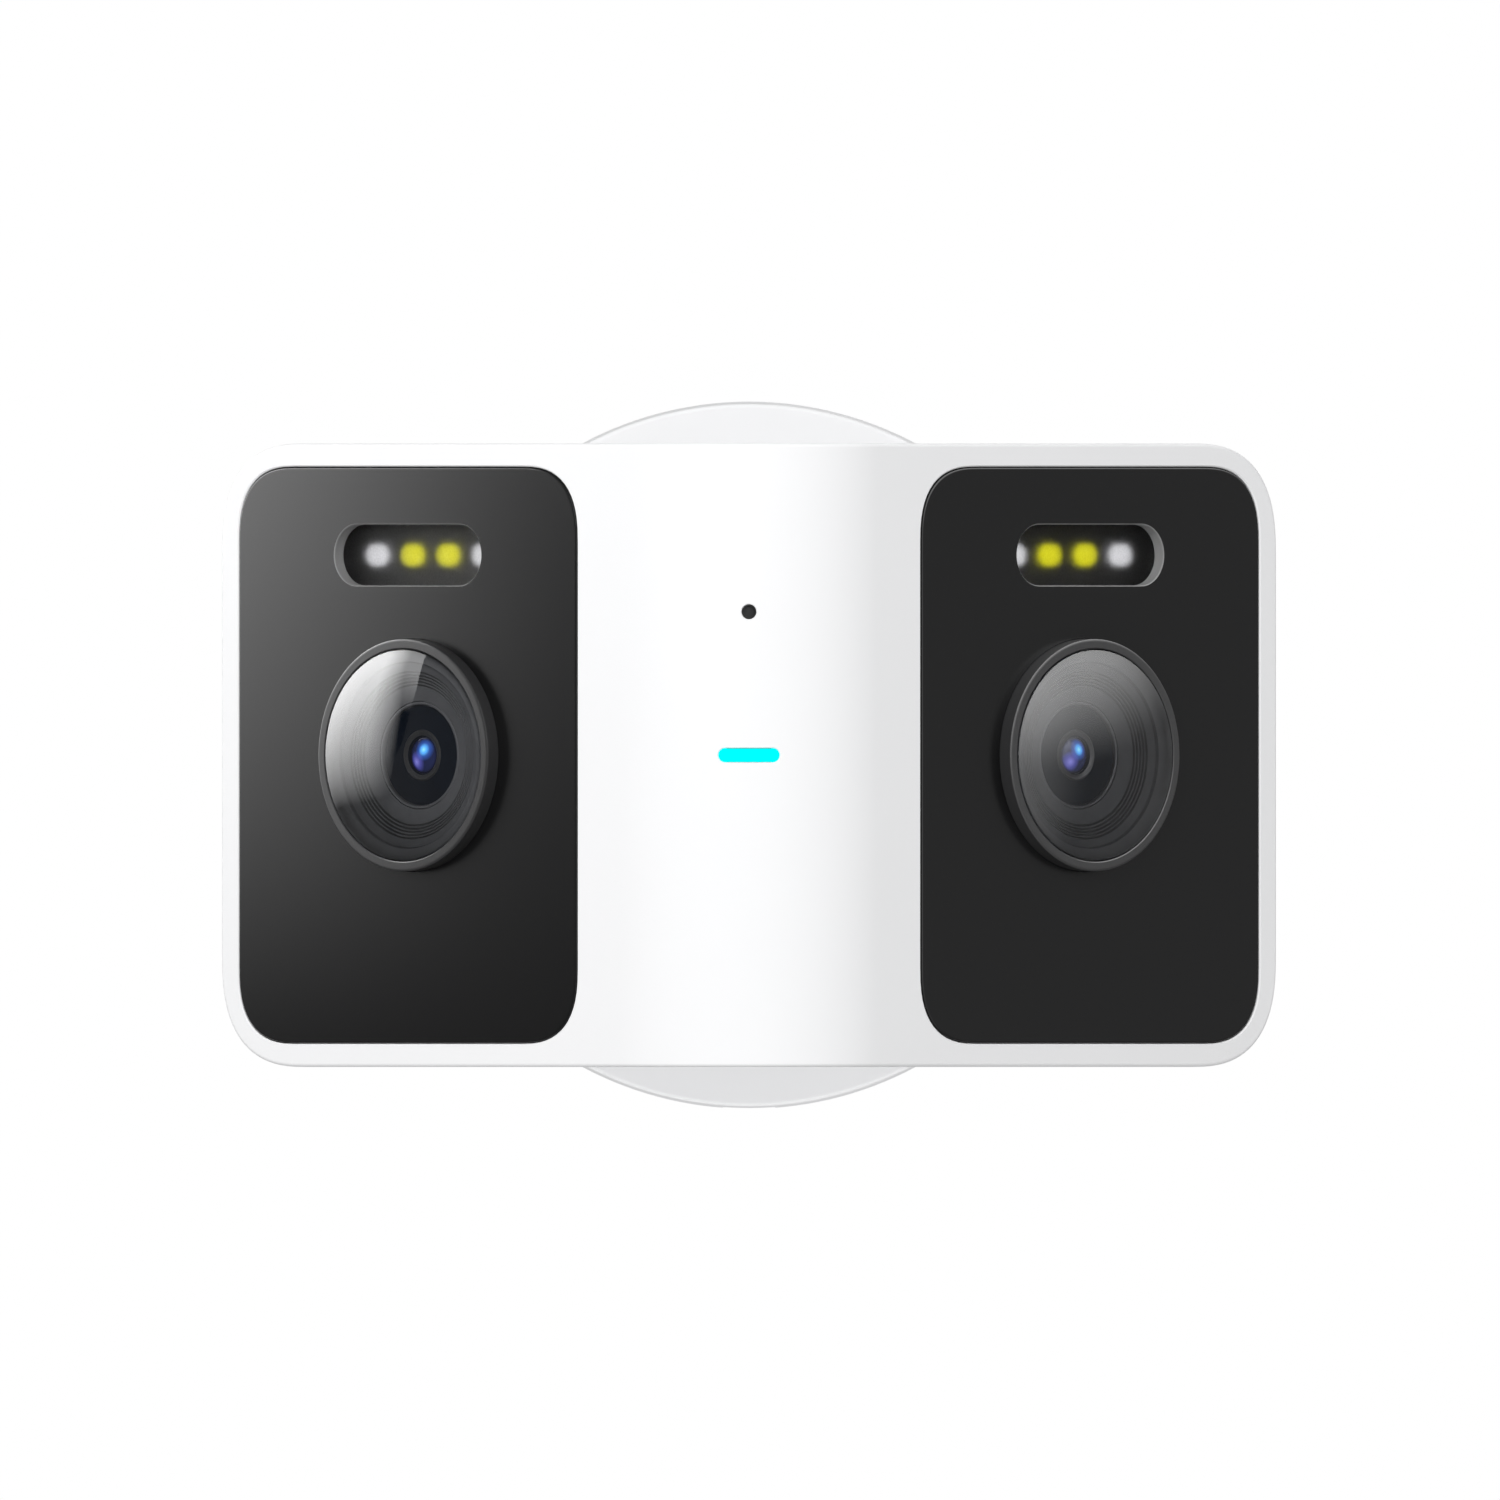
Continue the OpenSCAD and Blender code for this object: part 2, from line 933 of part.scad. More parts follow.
module led_window(side) {
    color([0.15, 0.15, 0.16, 0.6])
        wing(side)
            between(panel_t, panel_t + window_t)
                translate([panel_x, lamp_z])
                    round_bar(window_w, window_h);
}

module led_board(side) {
    color(part_black)
        wing(side)
            block(
                [panel_x - led_board_w / 2, led_board_front, lamp_z - led_board_h / 2],
                [panel_x + led_board_w / 2, led_board_back, lamp_z + led_board_h / 2]
            );
}

// One pair of LEDs in each wing; places count from the middle of the window in pitches
module led_pairs(places) {
    for (side = [-1, 1], place = places)
        wing(side)
            block(
                [panel_x + place * led_pitch - led_w / 2, led_depth, lamp_z - led_h / 2],
                [panel_x + place * led_pitch + led_w / 2, led_board_front, lamp_z + led_h / 2]
            );
}

module white_leds() {
    color([0.92, 0.88, 0.2])
        led_pairs([-0.5, 0.5]);
}

module infrared_leds() {
    color([0.85, 0.85, 0.86])
        led_pairs([-1.5, 1.5]);
}

module light_sensor() {
    color([0.35, 0.35, 0.38])
        wing(-1)
            block(
                [panel_x + sensor_place - sensor_half, led_board_front - sensor_rise, lamp_z - sensor_half],
                [panel_x + sensor_place + sensor_half, led_board_front, lamp_z + sensor_half]
            );
}

// ---------------------------------------------------------------- nose parts

module light_pipe() {
    front = nose_y - nose_r;
    back = wall + pipe_gap;
    color([0, 1, 1])
        union() {
            intersection() {
                between(front - cut, front + back)
                    round_bar(bar_w, bar_h);
                translate([0, nose_y, -bar_h])
                    cylinder(r = nose_r, h = 2 * bar_h);
            }
            intersection() {
                nose(back, back + flange_t, flange_half_h);
                block(
                    [-flange_half_w, front, -flange_half_h],
                    [flange_half_w, front + 2 * wall, flange_half_h]
                );
            }
        }
}

module status_board() {
    depth = nose_y - nose_r + status_depth;
    led = status_led_half;
    color(board_green)
        union() {
            block([-status_half_w, depth, status_z0], [status_half_w, depth + status_t, status_z1]);
            block([-led, depth - status_led_t, -led], [led, depth, led]);
        }
}

// Microphone can with the rubber boot that lines its hole
module microphone() {
    front = nose_y - nose_r;
    color(part_black)
        difference() {
            union() {
                rod(0, mic_z, mic_d / 2 - run_gap, front + boot_lip, front + wall + mic_can_gap + face_gap);
                rod(0, mic_z, mic_can_r, front + wall + mic_can_gap, front + status_depth);
            }
            rod(0, mic_z, mic_d / 2 - boot_t, front - cut, front + mic_chamber_depth);
        }
}

module speaker() {
    half_w = speaker_w / 2;
    half_l = speaker_l / 2;
    dish_w = half_w - speaker_rim;
    dish_l = half_l - speaker_rim;
    color(part_black)
        wing(1)
            difference() {
                block(
                    [speaker_x - half_w, speaker_t - half_l, speaker_z],
                    [speaker_x + half_w, speaker_t + half_l, speaker_z + speaker_h]
                );
                block(
                    [speaker_x - dish_w, speaker_t - dish_l, speaker_z - cut],
                    [speaker_x + dish_w, speaker_t + dish_l, speaker_z + speaker_dish]
                );
            }
}

// ---------------------------------------------------------------- inner boards and plates

module heat_sink() {
    color(steel)
        union() {
            nose(sink_front, sink_back, sink_half);
            for (side = [-1, 1])
                wing(side) {
                    block([0, sink_front, -sink_half], [sink_reach, sink_back, sink_half]);
                    block(
                        [panel_x - foot_half_w, led_board_back, lamp_z - foot_half_h],
                        [panel_x + foot_half_w, sink_front, lamp_z + foot_half_h]
                    );
                }
        }
}

module main_board() {
    // Parts on the board's back: x from and to, z from and to, height
    chips = [[38, 54, -12, 4, 1.6], [58, 67, -30, -20, 1.2]];
    color(board_green)
        wing(-1)
            union() {
                block([board_x0, board_front, board_z0], [board_x1, board_back, board_z1]);
                for (c = chips)
                    block([c[0], board_back, c[2]], [c[1], board_back + c[4], c[3]]);
                block([plug_x0, board_front - plug_t, -ribbon_half], [plug_x1, board_front, ribbon_half]);
                block(
                    [side_plug_x0, board_front - plug_t, ribbon_z0],
                    [side_plug_x1, board_front, ribbon_z1]
                );
                block(
                    [button_x - switch_half, button_depth - switch_depth, board_z0],
                    [button_x + switch_half, board_front, board_z0 + switch_h]
                );
            }
}

module card_socket() {
    socket_top = card_z0 + card_h + card_push + socket_slack + socket_top_t;
    color(steel)
        wing(-1)
            difference() {
                block(
                    [card_x - card_w / 2 - socket_wall, socket_front, socket_z],
                    [card_x + card_w / 2 + socket_wall, board_front, socket_top]
                );
                block(
                    [card_x - card_w / 2 - slide_gap, card_depth - card_t / 2 - slide_gap, socket_z - cut],
                    [
                        card_x + card_w / 2 + slide_gap,
                        card_depth + card_t / 2 + slide_gap,
                        socket_top - socket_top_t
                    ]
                );
            }
}

module antennas() {
    color(board_green)
        for (side = [-1, 1])
            wing(side)
                block(antenna_low, antenna_high);
}

// Flat cables from both sensor boards to the main board
module ribbon_cables() {
    y0 = sensor_back;
    y1 = sensor_back + ribbon_t;
    color([0.85, 0.6, 0.2])
        union() {
            wing(1)
                block([0, y0, -ribbon_half], [lens_x - ribbon_overlap_r, y1, ribbon_half]);
            nose(y0, y1, ribbon_half);
            wing(-1)
                block([0, y0, -ribbon_half], [plug_x1, y1, ribbon_half]);
            wing(-1)
                block([side_plug_x0, y0, ribbon_z0], [lens_x - ribbon_overlap_l, y1, ribbon_z1]);
        }
}

// ---------------------------------------------------------------- door, card and button

module card_door() {
    color([0.9, 0.9, 0.91])
        wing(-1)
            union() {
                block([door_x0, door_t0 + slide_gap, -head_half], [door_x1, hinge_t, -head_half + door_t]);
                translate([door_x0, hinge_t, hinge_z])
                    rotate([0, 90, 0])
                        cylinder(r = hinge_r, h = door_x1 - door_x0);
                translate([door_x0 - hinge_pin_reach, hinge_t, hinge_z])
                    rotate([0, 90, 0])
                        cylinder(r = hinge_pin_r, h = door_x1 - door_x0 + 2 * hinge_pin_reach);
            }
}

module memory_card() {
    color(part_black)
        wing(-1)
            block(
                [card_x - card_w / 2, card_depth - card_t / 2, card_z0],
                [card_x + card_w / 2, card_depth + card_t / 2, card_z0 + card_h]
            );
}

module reset_button() {
    color([0.3, 0.3, 0.32])
        wing(-1)
            union() {
                translate([button_x, button_depth, door_floor_z + button_lift])
                    cylinder(r = button_r, h = button_len);
                translate([button_x, button_depth, door_floor_z + door_wall_top + face_gap])
                    cylinder(r = button_collar_r, h = button_collar_t);
            }
}

// ---------------------------------------------------------------- tilt joint

module tilt_bracket() {
    face = nose_y + spine_y;
    color(shell_white)
        difference() {
            union() {
                block([-plate_half_w, face, -plate_half_h], [plate_half_w, face + plate_t, plate_half_h]);
                for (side = [0, 1])
                    mirror([side, 0, 0]) {
                        cross_rod(knuckle_r, ear_x0, ear_x1);
                        block([ear_x0, face + plate_t - cut, -knuckle_r], [ear_x1, pivot_y, knuckle_r]);
                    }
            }
            cross_rod(bolt_r + run_gap, -ear_x1 - cut, ear_x1 + cut);
            rod(0, wire_z, wire_r, face - cut, face + plate_t + cut);
            for (x = [-bracket_screw_x, bracket_screw_x], z = [-bracket_screw_z, bracket_screw_z])
                rod(x, z, screw_hole_r + face_gap, face - cut, face + plate_t + cut);
        }
}

module bracket_screws() {
    face = nose_y + spine_y;
    color(steel)
        for (x = [-bracket_screw_x, bracket_screw_x], z = [-bracket_screw_z, bracket_screw_z])
            screw_in(x, z, face - bracket_screw_len, face + plate_t, bracket_head_t);
}

module tilt_bolt() {
    color(steel)
        difference() {
            union() {
                cross_rod(bolt_r, -ear_x1, ear_x1 + bolt_tail);
                cross_rod(bolt_head_r, -ear_x1 - bolt_head_t, -ear_x1);
            }
            cross_rod(hex_r, -ear_x1 - bolt_head_t - cut, -ear_x1 - bolt_head_t + hex_depth, 6);
        }
}

module tilt_nut() {
    color(steel)
        difference() {
            cross_rod(nut_hex_r, ear_x1, ear_x1 + nut_hex_t, 6);
            cross_rod(bolt_r, ear_x1 - cut, ear_x1 + nut_hex_t + cut);
        }
}

// Snap-on caps over the bolt's head and the nut
module bolt_caps() {
    color(shell_white)
        for (side = [0, 1])
            mirror([side, 0, 0])
                difference() {
                    union() {
                        cross_rod(cap_r, ear_x1, ear_x1 + cap_h - cap_edge);
                        cross_rod(cap_r - cap_edge, ear_x1, ear_x1 + cap_h);
                    }
                    cross_rod(cap_r - cap_wall, ear_x1 - cut, ear_x1 + cap_h - cap_edge);
                }
}

module friction_washers() {
    color(part_black)
        for (side = [0, 1])
            mirror([side, 0, 0])
                difference() {
                    cross_rod(knuckle_r - 1, tongue_half + face_gap, tongue_half + face_gap + washer_t);
                    cross_rod(bolt_r + run_gap, tongue_half, ear_x0 + cut);
                }
}

// ---------------------------------------------------------------- arm

module arm() {
    stem_top = arm_reach + base_t - knuckle_r - stem_gap;
    flange_top = arm_flange_z + arm_flange_t;
    color(shell_white)
        difference() {
            union() {
                turned()
                    polygon([
                        [0, nut_top - nut_t],
                        [shank_r, nut_top - nut_t],
                        [shank_r, seal_z - seal_groove_half],
                        [shank_r - seal_groove_depth, seal_z - seal_groove_half],
                        [shank_r - seal_groove_depth, seal_z + seal_groove_half],
                        [shank_r, seal_z + seal_groove_half],
                        [shank_r, arm_flange_z],
                        [arm_flange_r, arm_flange_z],
                        [arm_flange_r, flange_top - arm_edge],
                        [arm_flange_r - arm_edge, flange_top],
                        [stem_foot_r, flange_top + stem_foot_h],
                        [stem_r, arm_flange_z + stem_foot_top],
                        [stem_r, stem_top - stem_edge],
                        [stem_r - stem_edge, stem_top],
                        [0, stem_top]
                    ]);
                cross_rod(knuckle_r, -tongue_half, tongue_half);
                block([-tongue_half, pivot_y, -knuckle_r], [tongue_half, -stem_top + stem_edge, knuckle_r]);
            }
            cross_rod(bolt_r + run_gap, -tongue_half - cut, tongue_half + cut);
            rod(0, 0, arm_bore_r, -stem_top + arm_bore_roof, 0);
            rod(0, wire_z, wire_r, pivot_y - knuckle_r - cut, -stem_top + arm_bore_roof + cut);
        }
}

module arm_seal() {
    color(part_black)
        turned()
            translate([shank_r - seal_r, seal_z])
                circle(r = seal_r, $fn = 24);
}

module wave_washer() {
    color(steel)
        turned()
            band(shank_r + face_gap, wave_r, nut_top, nut_top + wave_t);
}

module swivel_nut() {
    foot = nut_top - nut_t;
    color(steel)
        difference() {
            turned()
                band(shank_r, nut_r, foot, nut_top);
            for (a = [0:45:315])
                rotate([0, a, 0])
                    block([nut_r - nut_slot, -nut_top - cut, -nut_slot], [nut_r + cut, cut - foot, nut_slot]);
        }
}

// ---------------------------------------------------------------- base

module base_cover() {
    inner_r = base_r - base_wall;
    color(shell_white)
        difference() {
            union() {
                turned()
                    polygon([
                        [inner_r, 0],
                        [base_r, 0],
                        [base_r - base_draft, base_t - base_edge],
                        [base_r - base_draft - base_edge, base_t],
                        [boss_ring_r1, base_t],
                        [boss_ring_r1, base_t + boss_ring_h],
                        [boss_ring_r0, base_t + boss_ring_h],
                        [boss_ring_r0, base_t],
                        [bush_r, base_t],
                        [bush_r, cover_inside],
                        [inner_r, cover_inside],
                        [inner_r, gasket_t + lip_t],
                        [gasket_r0, gasket_t + lip_t],
                        [gasket_r0, gasket_t],
                        [inner_r, gasket_t]
                    ]);
                for (place = power_screw_places)
                    rod(place[0], place[1], pillar_r, -base_t + cut, -(board_face + board_t));
            }
            for (place = power_screw_places)
                rod(place[0], place[1], pillar_hole_r, -base_t + cover_face_t, 0);
            for (side = [0, 1])
                mirror([side, 0, 0]) {
                    radial_rod(screw_hole_r + face_gap, bracket_r, base_r + cut);
                    radial_rod(screw_head_r + slide_gap, base_r - cover_screw_sink, base_r + cut);
                }
            cable_notch(0);
        }
}

// Cylinder along x at the cover screws' height
module radial_rod(r, x0, x1) {
    translate([x0, -cover_screw_z, 0])
        rotate([0, 90, 0])
            cylinder(r = r, h = x1 - x0);
}

// Cable notch through the bottom of the base's rim
module cable_notch(grow) {
    half = notch_w / 2 + grow;
    low = -notch_h + notch_round;
    translate([0, 0, -base_r - cut])
        linear_extrude(notch_depth) {
            translate([-half, low])
                square([2 * half, cut - low]);
            translate([-half + notch_round, -notch_h])
                square([2 * (half - notch_round), notch_round + cut]);
            for (side = [-1, 1])
                translate([side * (half - notch_round), low])
                    circle(r = notch_round);
        }
}

module wall_gasket() {
    color(part_black)
        difference() {
            turned()
                band(gasket_r0 + face_gap, base_r - base_wall - face_gap, 0, gasket_t);
            cable_notch(notch_clear);
        }
}

module cover_screws() {
    seat = base_r - cover_screw_sink;
    top = seat + cover_screw_head_t;
    color(steel)
        for (side = [0, 1])
            mirror([side, 0, 0])
                difference() {
                    union() {
                        radial_rod(screw_r, cover_screw_tip, seat);
                        radial_rod(screw_head_r, seat, top);
                    }
                    radial_rod(driver_r, top - driver_depth / 2, top + cut);
                }
}

module wall_bracket() {
    color(steel)
        difference() {
            union() {
                turned()
                    band(wire_entry_r, bracket_r, 0, bracket_t);
                for (side = [0, 1])
                    mirror([side, 0, 0])
                        block([tab_x, -tab_h, -tab_half], [tab_x + tab_t, -cut, tab_half]);
            }
            for (side = [-1, 1])
                rod(side * box_screw_spacing / 2, 0, wall_hole_r, -bracket_t - cut, cut);
            for (a = [45:90:315])
                rod(
                    wall_screw_pcd / 2 * cos(a), wall_screw_pcd / 2 * sin(a),
                    wall_hole_r, -bracket_t - cut, cut
                );
            for (side = [0, 1])
                mirror([side, 0, 0])
                    radial_rod(screw_hole_r, tab_x - cut, tab_x + tab_t + cut);
        }
}

module terminal_block() {
    top = -bracket_t - terminal_t;
    color([0.9, 0.9, 0.86])
        difference() {
            block(
                [-terminal_half_w, top, terminal_z - terminal_half_h],
                [terminal_half_w, -bracket_t, terminal_z + terminal_half_h]
            );
            for (pole = [-1:1]) {
                for (side = [-1, 1])
                    rod(
                        pole * terminal_pitch, terminal_z + side * terminal_screw_z,
                        terminal_hole_r, top - cut, top + terminal_half_h
                    );
                translate([
                    pole * terminal_pitch,
                    -bracket_t - terminal_wire_depth,
                    terminal_z - terminal_half_h - cut
                ])
                    cylinder(r = terminal_wire_r, h = 2 * (terminal_half_h + cut));
            }
        }
}

module terminal_screws() {
    top = -bracket_t - terminal_t + 1;
    color([0.75, 0.6, 0.3])
        for (pole = [-1:1], side = [-1, 1])
            rod(
                pole * terminal_pitch, terminal_z + side * terminal_screw_z,
                terminal_screw_r, top, top + terminal_half_h - 2
            );
}

module earth_screw() {
    seat = -bracket_t - earth_depth;
    top = seat - earth_head_t;
    color([0.75, 0.6, 0.3])
        difference() {
            union() {
                rod(earth_x, earth_z, earth_r, seat, -bracket_t);
                rod(earth_x, earth_z, earth_head_r, top, seat);
            }
            rod(earth_x, earth_z, driver_r, top - cut, top + driver_depth);
        }
}

module power_board() {
    color(board_green)
        difference() {
            intersection() {
                rod(0, 0, power_board_r, -(board_face + board_t), -board_face);
                block([-power_board_half_w, -base_t, power_board_z0], [power_board_half_w, 0, base_r]);
            }
            for (place = power_screw_places)
                rod(place[0], place[1], power_screw_hole_r, -base_t, 0);
        }
}

module transformer() {
    // Half width, half height and depth of the coil's block and of the core's cap on it
    sizes = [[11, 8, 0, 9], [7, 6, 9, 11]];
    color([0.85, 0.75, 0.25])
        union()
            for (s = sizes)
                block(
                    [-s[0], s[2] - board_face, transformer_z - s[1]],
                    [s[0], s[3] - board_face, transformer_z + s[1]]
                );
}

module capacitors() {
    color([0.15, 0.15, 0.2])
        for (side = [-1, 1])
            rod(side * capacitor_x, capacitor_z, capacitor_r, -board_face, capacitor_h - board_face);
}

module power_screws() {
    color(steel)
        for (place = power_screw_places)
            union() {
                rod(place[0], place[1], power_screw_r, -power_screw_tip, -board_face);
                rod(place[0], place[1], power_screw_head_r, -board_face, power_screw_head_t - board_face);
            }
}

module swivel_bush() {
    color([0.92, 0.92, 0.88])
        turned()
            polygon([
                [bush_bore_r, cover_inside + bush_lift],
                [bush_r, cover_inside + bush_lift],
                [bush_r, base_t],
                [bush_flange_r, base_t],
                [bush_flange_r, base_t + bush_flange_t],
                [bush_bore_r, base_t + bush_flange_t]
            ]);
}

wall_bracket();
wall_gasket();
base_cover();
cover_screws();
terminal_block();
terminal_screws();
earth_screw();
power_board();
transformer();
capacitors();
power_screws();
swivel_bush();
arm();
swivel_nut();
wave_washer();
arm_seal();
front_shell();
rear_shell();
shell_gasket();
shell_screws();
tilt_bracket();
bracket_screws();
tilt_bolt();
tilt_nut();
bolt_caps();
friction_washers();
face_panel(-1);  // face_panel_l
face_panel(1);  // face_panel_r
panel_tapes();
lens_ring(-1);  // lens_ring_l
lens_ring(1);  // lens_ring_r
lens_dome(-1);  // lens_dome_l
lens_dome(1);  // lens_dome_r
lens_baffle(-1);  // lens_baffle_l
lens_baffle(1);  // lens_baffle_r
lens_barrel(-1);  // lens_barrel_l
lens_barrel(1);  // lens_barrel_r
front_element(-1);  // front_element_l
front_element(1);  // front_element_r
lens_holders();
sensor_boards();
led_window(-1);  // led_window_l
led_window(1);  // led_window_r
led_board(-1);  // led_board_l
led_board(1);  // led_board_r
white_leds();
infrared_leds();
light_sensor();
light_pipe();
status_board();
microphone();
speaker();
heat_sink();
main_board();
card_socket();
antennas();
ribbon_cables();
memory_card();
card_door();
reset_button();
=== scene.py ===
"""Looks of a two-winged floodlight security camera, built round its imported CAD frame.

Sizes are in millimetres until a mesh is placed, and a placed mesh is in metres. The front faces -Y, +Z is
up and the wall is the plane y = 0. The head is modelled flat and then bent: in the flat frame, q runs along
the head's front from the middle of the nose, t is the depth behind the front and z is the height.
"""

import json
import math

import bmesh
import bpy
from mathutils import Matrix, Vector


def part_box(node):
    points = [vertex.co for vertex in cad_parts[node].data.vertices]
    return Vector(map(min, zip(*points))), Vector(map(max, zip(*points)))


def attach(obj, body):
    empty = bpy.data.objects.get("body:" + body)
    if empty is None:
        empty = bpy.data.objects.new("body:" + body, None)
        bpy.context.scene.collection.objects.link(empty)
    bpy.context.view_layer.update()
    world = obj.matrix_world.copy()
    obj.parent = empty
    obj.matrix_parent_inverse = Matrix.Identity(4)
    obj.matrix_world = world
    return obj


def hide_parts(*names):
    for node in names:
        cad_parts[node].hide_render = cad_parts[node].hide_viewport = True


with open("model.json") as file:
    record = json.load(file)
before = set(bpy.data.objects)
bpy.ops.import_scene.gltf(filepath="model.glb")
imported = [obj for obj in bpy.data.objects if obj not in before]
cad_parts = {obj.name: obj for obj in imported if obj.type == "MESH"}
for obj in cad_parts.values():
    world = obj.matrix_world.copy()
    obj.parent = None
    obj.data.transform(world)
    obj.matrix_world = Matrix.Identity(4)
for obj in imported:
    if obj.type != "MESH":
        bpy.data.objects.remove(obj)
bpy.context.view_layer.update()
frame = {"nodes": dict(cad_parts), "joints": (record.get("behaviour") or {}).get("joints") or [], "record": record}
scene = bpy.context.scene

MM = 0.001
joints = {joint["name"]: joint for joint in frame["joints"]}
hinge_axis = joints["card_door_hinge"]["axis"]


def low(node):
    """Lowest corner of a CAD node, in millimetres."""
    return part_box(node)[0] / MM


def high(node):
    """Highest corner of a CAD node, in millimetres."""
    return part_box(node)[1] / MM


# ---------------------------------------------------------------- sizes

ANGLE = math.atan2(abs(hinge_axis[1]), abs(hinge_axis[0]))
HEAD_HALF = high("front_shell").z
NOSE_R = 30.0
NOSE_Y = low("front_shell").y + NOSE_R
ARC = NOSE_R * ANGLE
WING_LEN = (high("front_shell").x - NOSE_R * math.sin(ANGLE)) / math.cos(ANGLE)
SOFTNESS = 2.6
CORNER_R = 18.0
BACK_R = 7.0
BACK_FLAT = 0.5
WALL = 3.0
SPLIT = NOSE_R - BACK_R - BACK_FLAT

PANEL_W, PANEL_H, PANEL_R, PANEL_T = 74.0, 92.3, 12.2, 2.1
PANEL_MARGIN, TAPE_T, PAN_T = 4.0, 0.3, 2.0
PANEL_Q = ARC + WING_LEN - PANEL_MARGIN - PANEL_W / 2
RECESS_T = PANEL_T + TAPE_T
PAN_BACK = RECESS_T + PAN_T

LENS_SHIFT = 1.2
LENS_Q = PANEL_Q - LENS_SHIFT
RING_R, RING_W, RING_UP = 18.65, 1.6, 2.5
GLASS_R = RING_R - RING_W
DOME_UP, DOME_T = 3.0, 1.2
GLASS_BACK = DOME_T - RING_UP
BARREL_R, BARREL_FRONT, BARREL_BACK = 8.6, 1.5, 11.0
ELEMENT_R = 2.95

LAMP_W, LAMP_H, LAMP_Z = 32.1, 9.8, 32.1
WINDOW_RIM, WINDOW_T = 1.8, 1.5
WINDOW_W, WINDOW_H = LAMP_W + 2 * WINDOW_RIM, LAMP_H + 2 * WINDOW_RIM
LED_PITCH, LED_W, LED_H, LED_DEPTH, LED_T = 7.75, 5.0, 3.6, 5.5, 0.9

BAR_W, BAR_H = 9.8, 2.13
MIC_R, BOOT_R, MIC_Z = 1.2, 0.9, 23.0

DOOR_T0, DOOR_T, HINGE_T, HINGE_R, PIN_R = 8.0, 2.0, 18.8, 1.2, 0.6
DOOR_FLOOR = -HEAD_HALF + 2.8
DOOR_Q0, DOOR_Q1 = -ARC - 62.0, -ARC - 34.0

BASE_R = high("base_cover").x
BASE_T = 22.0

# Gap round a piece in its opening, how far a cutting tool runs past a face, and how near two points weld
FIT, PAST, WELD = 0.15, 1.0, 1e-4


# ---------------------------------------------------------------- shapes

def bent(q, t, z):
    """Place in the row frame, in millimetres, of a point of the flat frame."""
    turn = max(-ANGLE, min(ANGLE, q / NOSE_R))
    along = q - turn * NOSE_R
    radius = NOSE_R - t
    return Vector((
        radius * math.sin(turn) + along * math.cos(turn),
        NOSE_Y - radius * math.cos(turn) + along * math.sin(turn),
        z,
    ))


def turn_at(q):
    """Rotation from the flat frame to the row frame at q."""
    return Matrix.Rotation(max(-ANGLE, min(ANGLE, q / NOSE_R)), 3, "Z")


def soft_loop(w, h, r, softness=SOFTNESS, steps=14):
    """Corners of a soft-cornered rectangle, centred, anticlockwise from the right side."""
    x, z = w / 2 - r, h / 2 - r
    arc = []
    for i in range(steps + 1):
        a = math.pi / 2 * i / steps
        arc.append((r * math.cos(a) ** (2 / softness), r * max(0, math.sin(a)) ** (2 / softness)))
    arc[-1] = (0, r)
    quarters = (
        [(x + c, z + s) for c, s in arc],
        [(-x - c, z + s) for c, s in reversed(arc)],
        [(-x - c, -z - s) for c, s in arc],
        [(x + c, -z - s) for c, s in reversed(arc)],
    )
    loop = []
    for quarter in quarters:
        for point in quarter:
            if not loop or math.dist(point, loop[-1]) > WELD:
                loop.append(point)
    if math.dist(loop[0], loop[-1]) <= WELD:
        loop.pop()
    return loop


def skin(rings):
    """Closed solid through rings of equal length."""
    count = len(rings[0])
    points = [point for ring in rings for point in ring]
    faces = [tuple(reversed(range(count)))]
    for i in range(len(rings) - 1):
        for j in range(count):
            k = (j + 1) % count
            faces.append((i * count + j, i * count + k, (i + 1) * count + k, (i + 1) * count + j))
    faces.append(tuple(range(len(points) - count, len(points))))
    return points, faces


def slab(w, h, r, profile, q=0, z=0, softness=SOFTNESS, steps=14):
    """Solid whose soft-cornered outline is set in by each inset at each depth of the profile."""
    rings = []
    for inset, t in profile:
        loop = soft_loop(w - 2 * inset, h - 2 * inset, max(r - inset, 0.02), softness, steps)
        rings.append([(q + a, t, z + b) for a, b in loop])
    return skin(rings)


def bar(w, h, profile, q=0, z=0, steps=16):
    """Solid with fully rounded ends."""
    return slab(w, h, h / 2, profile, q, z, 2, steps)


def lathe(profile, q=0, z=0, steps=128, along="t"):
    """Closed profile of (radius, place) turned about an axis along t, z or q."""
    count = len(profile)
    points = []
    for i in range(steps):
        a = 2 * math.pi * i / steps
        for radius, place in profile:
            c, s = radius * math.cos(a), radius * math.sin(a)
            points.append({
                "t": (q + c, place, z + s),
                "z": (q + c, z + s, place),
                "q": (place, q + c, z + s),
            }[along])
    faces = []
    for i in range(steps):
        for j in range(count):
            k, after = (j + 1) % count, (i + 1) % steps
            faces.append((i * count + j, i * count + k, after * count + k, after * count + j))
    return points, faces


def eased_ends(z0, z1, ease):
    """Insets and heights of a block's two ends, their edges eased."""
    halfway = 0.3 * ease
    return (
        (ease, z0), (halfway, z0 + halfway), (0, z0 + ease),
        (0, z1 - ease), (halfway, z1 - halfway), (ease, z1),
    )


def box(low_corner, high_corner, ease=0.0):
    """Block between two corners, its edges eased."""
    (q0, t0, z0), (q1, t1, z1) = low_corner, high_corner
    w, h = q1 - q0, t1 - t0
    loop = soft_loop(w, h, max(ease, 0.01), 2, 5 if ease else 1)
    middle = ((q0 + q1) / 2, (t0 + t1) / 2)
    rings = []
    for inset, z in eased_ends(z0, z1, ease):
        share_w, share_h = 1 - 2 * inset / w, 1 - 2 * inset / h
        rings.append([(middle[0] + a * share_w, middle[1] + b * share_h, z) for a, b in loop])
    if not ease:
        rings = [rings[0], rings[-1]]
    return skin(rings)


def mirrored(part):
    """The same solid on the other side of the nose."""
    points, faces = part
    return [(-q, t, z) for q, t, z in points], faces


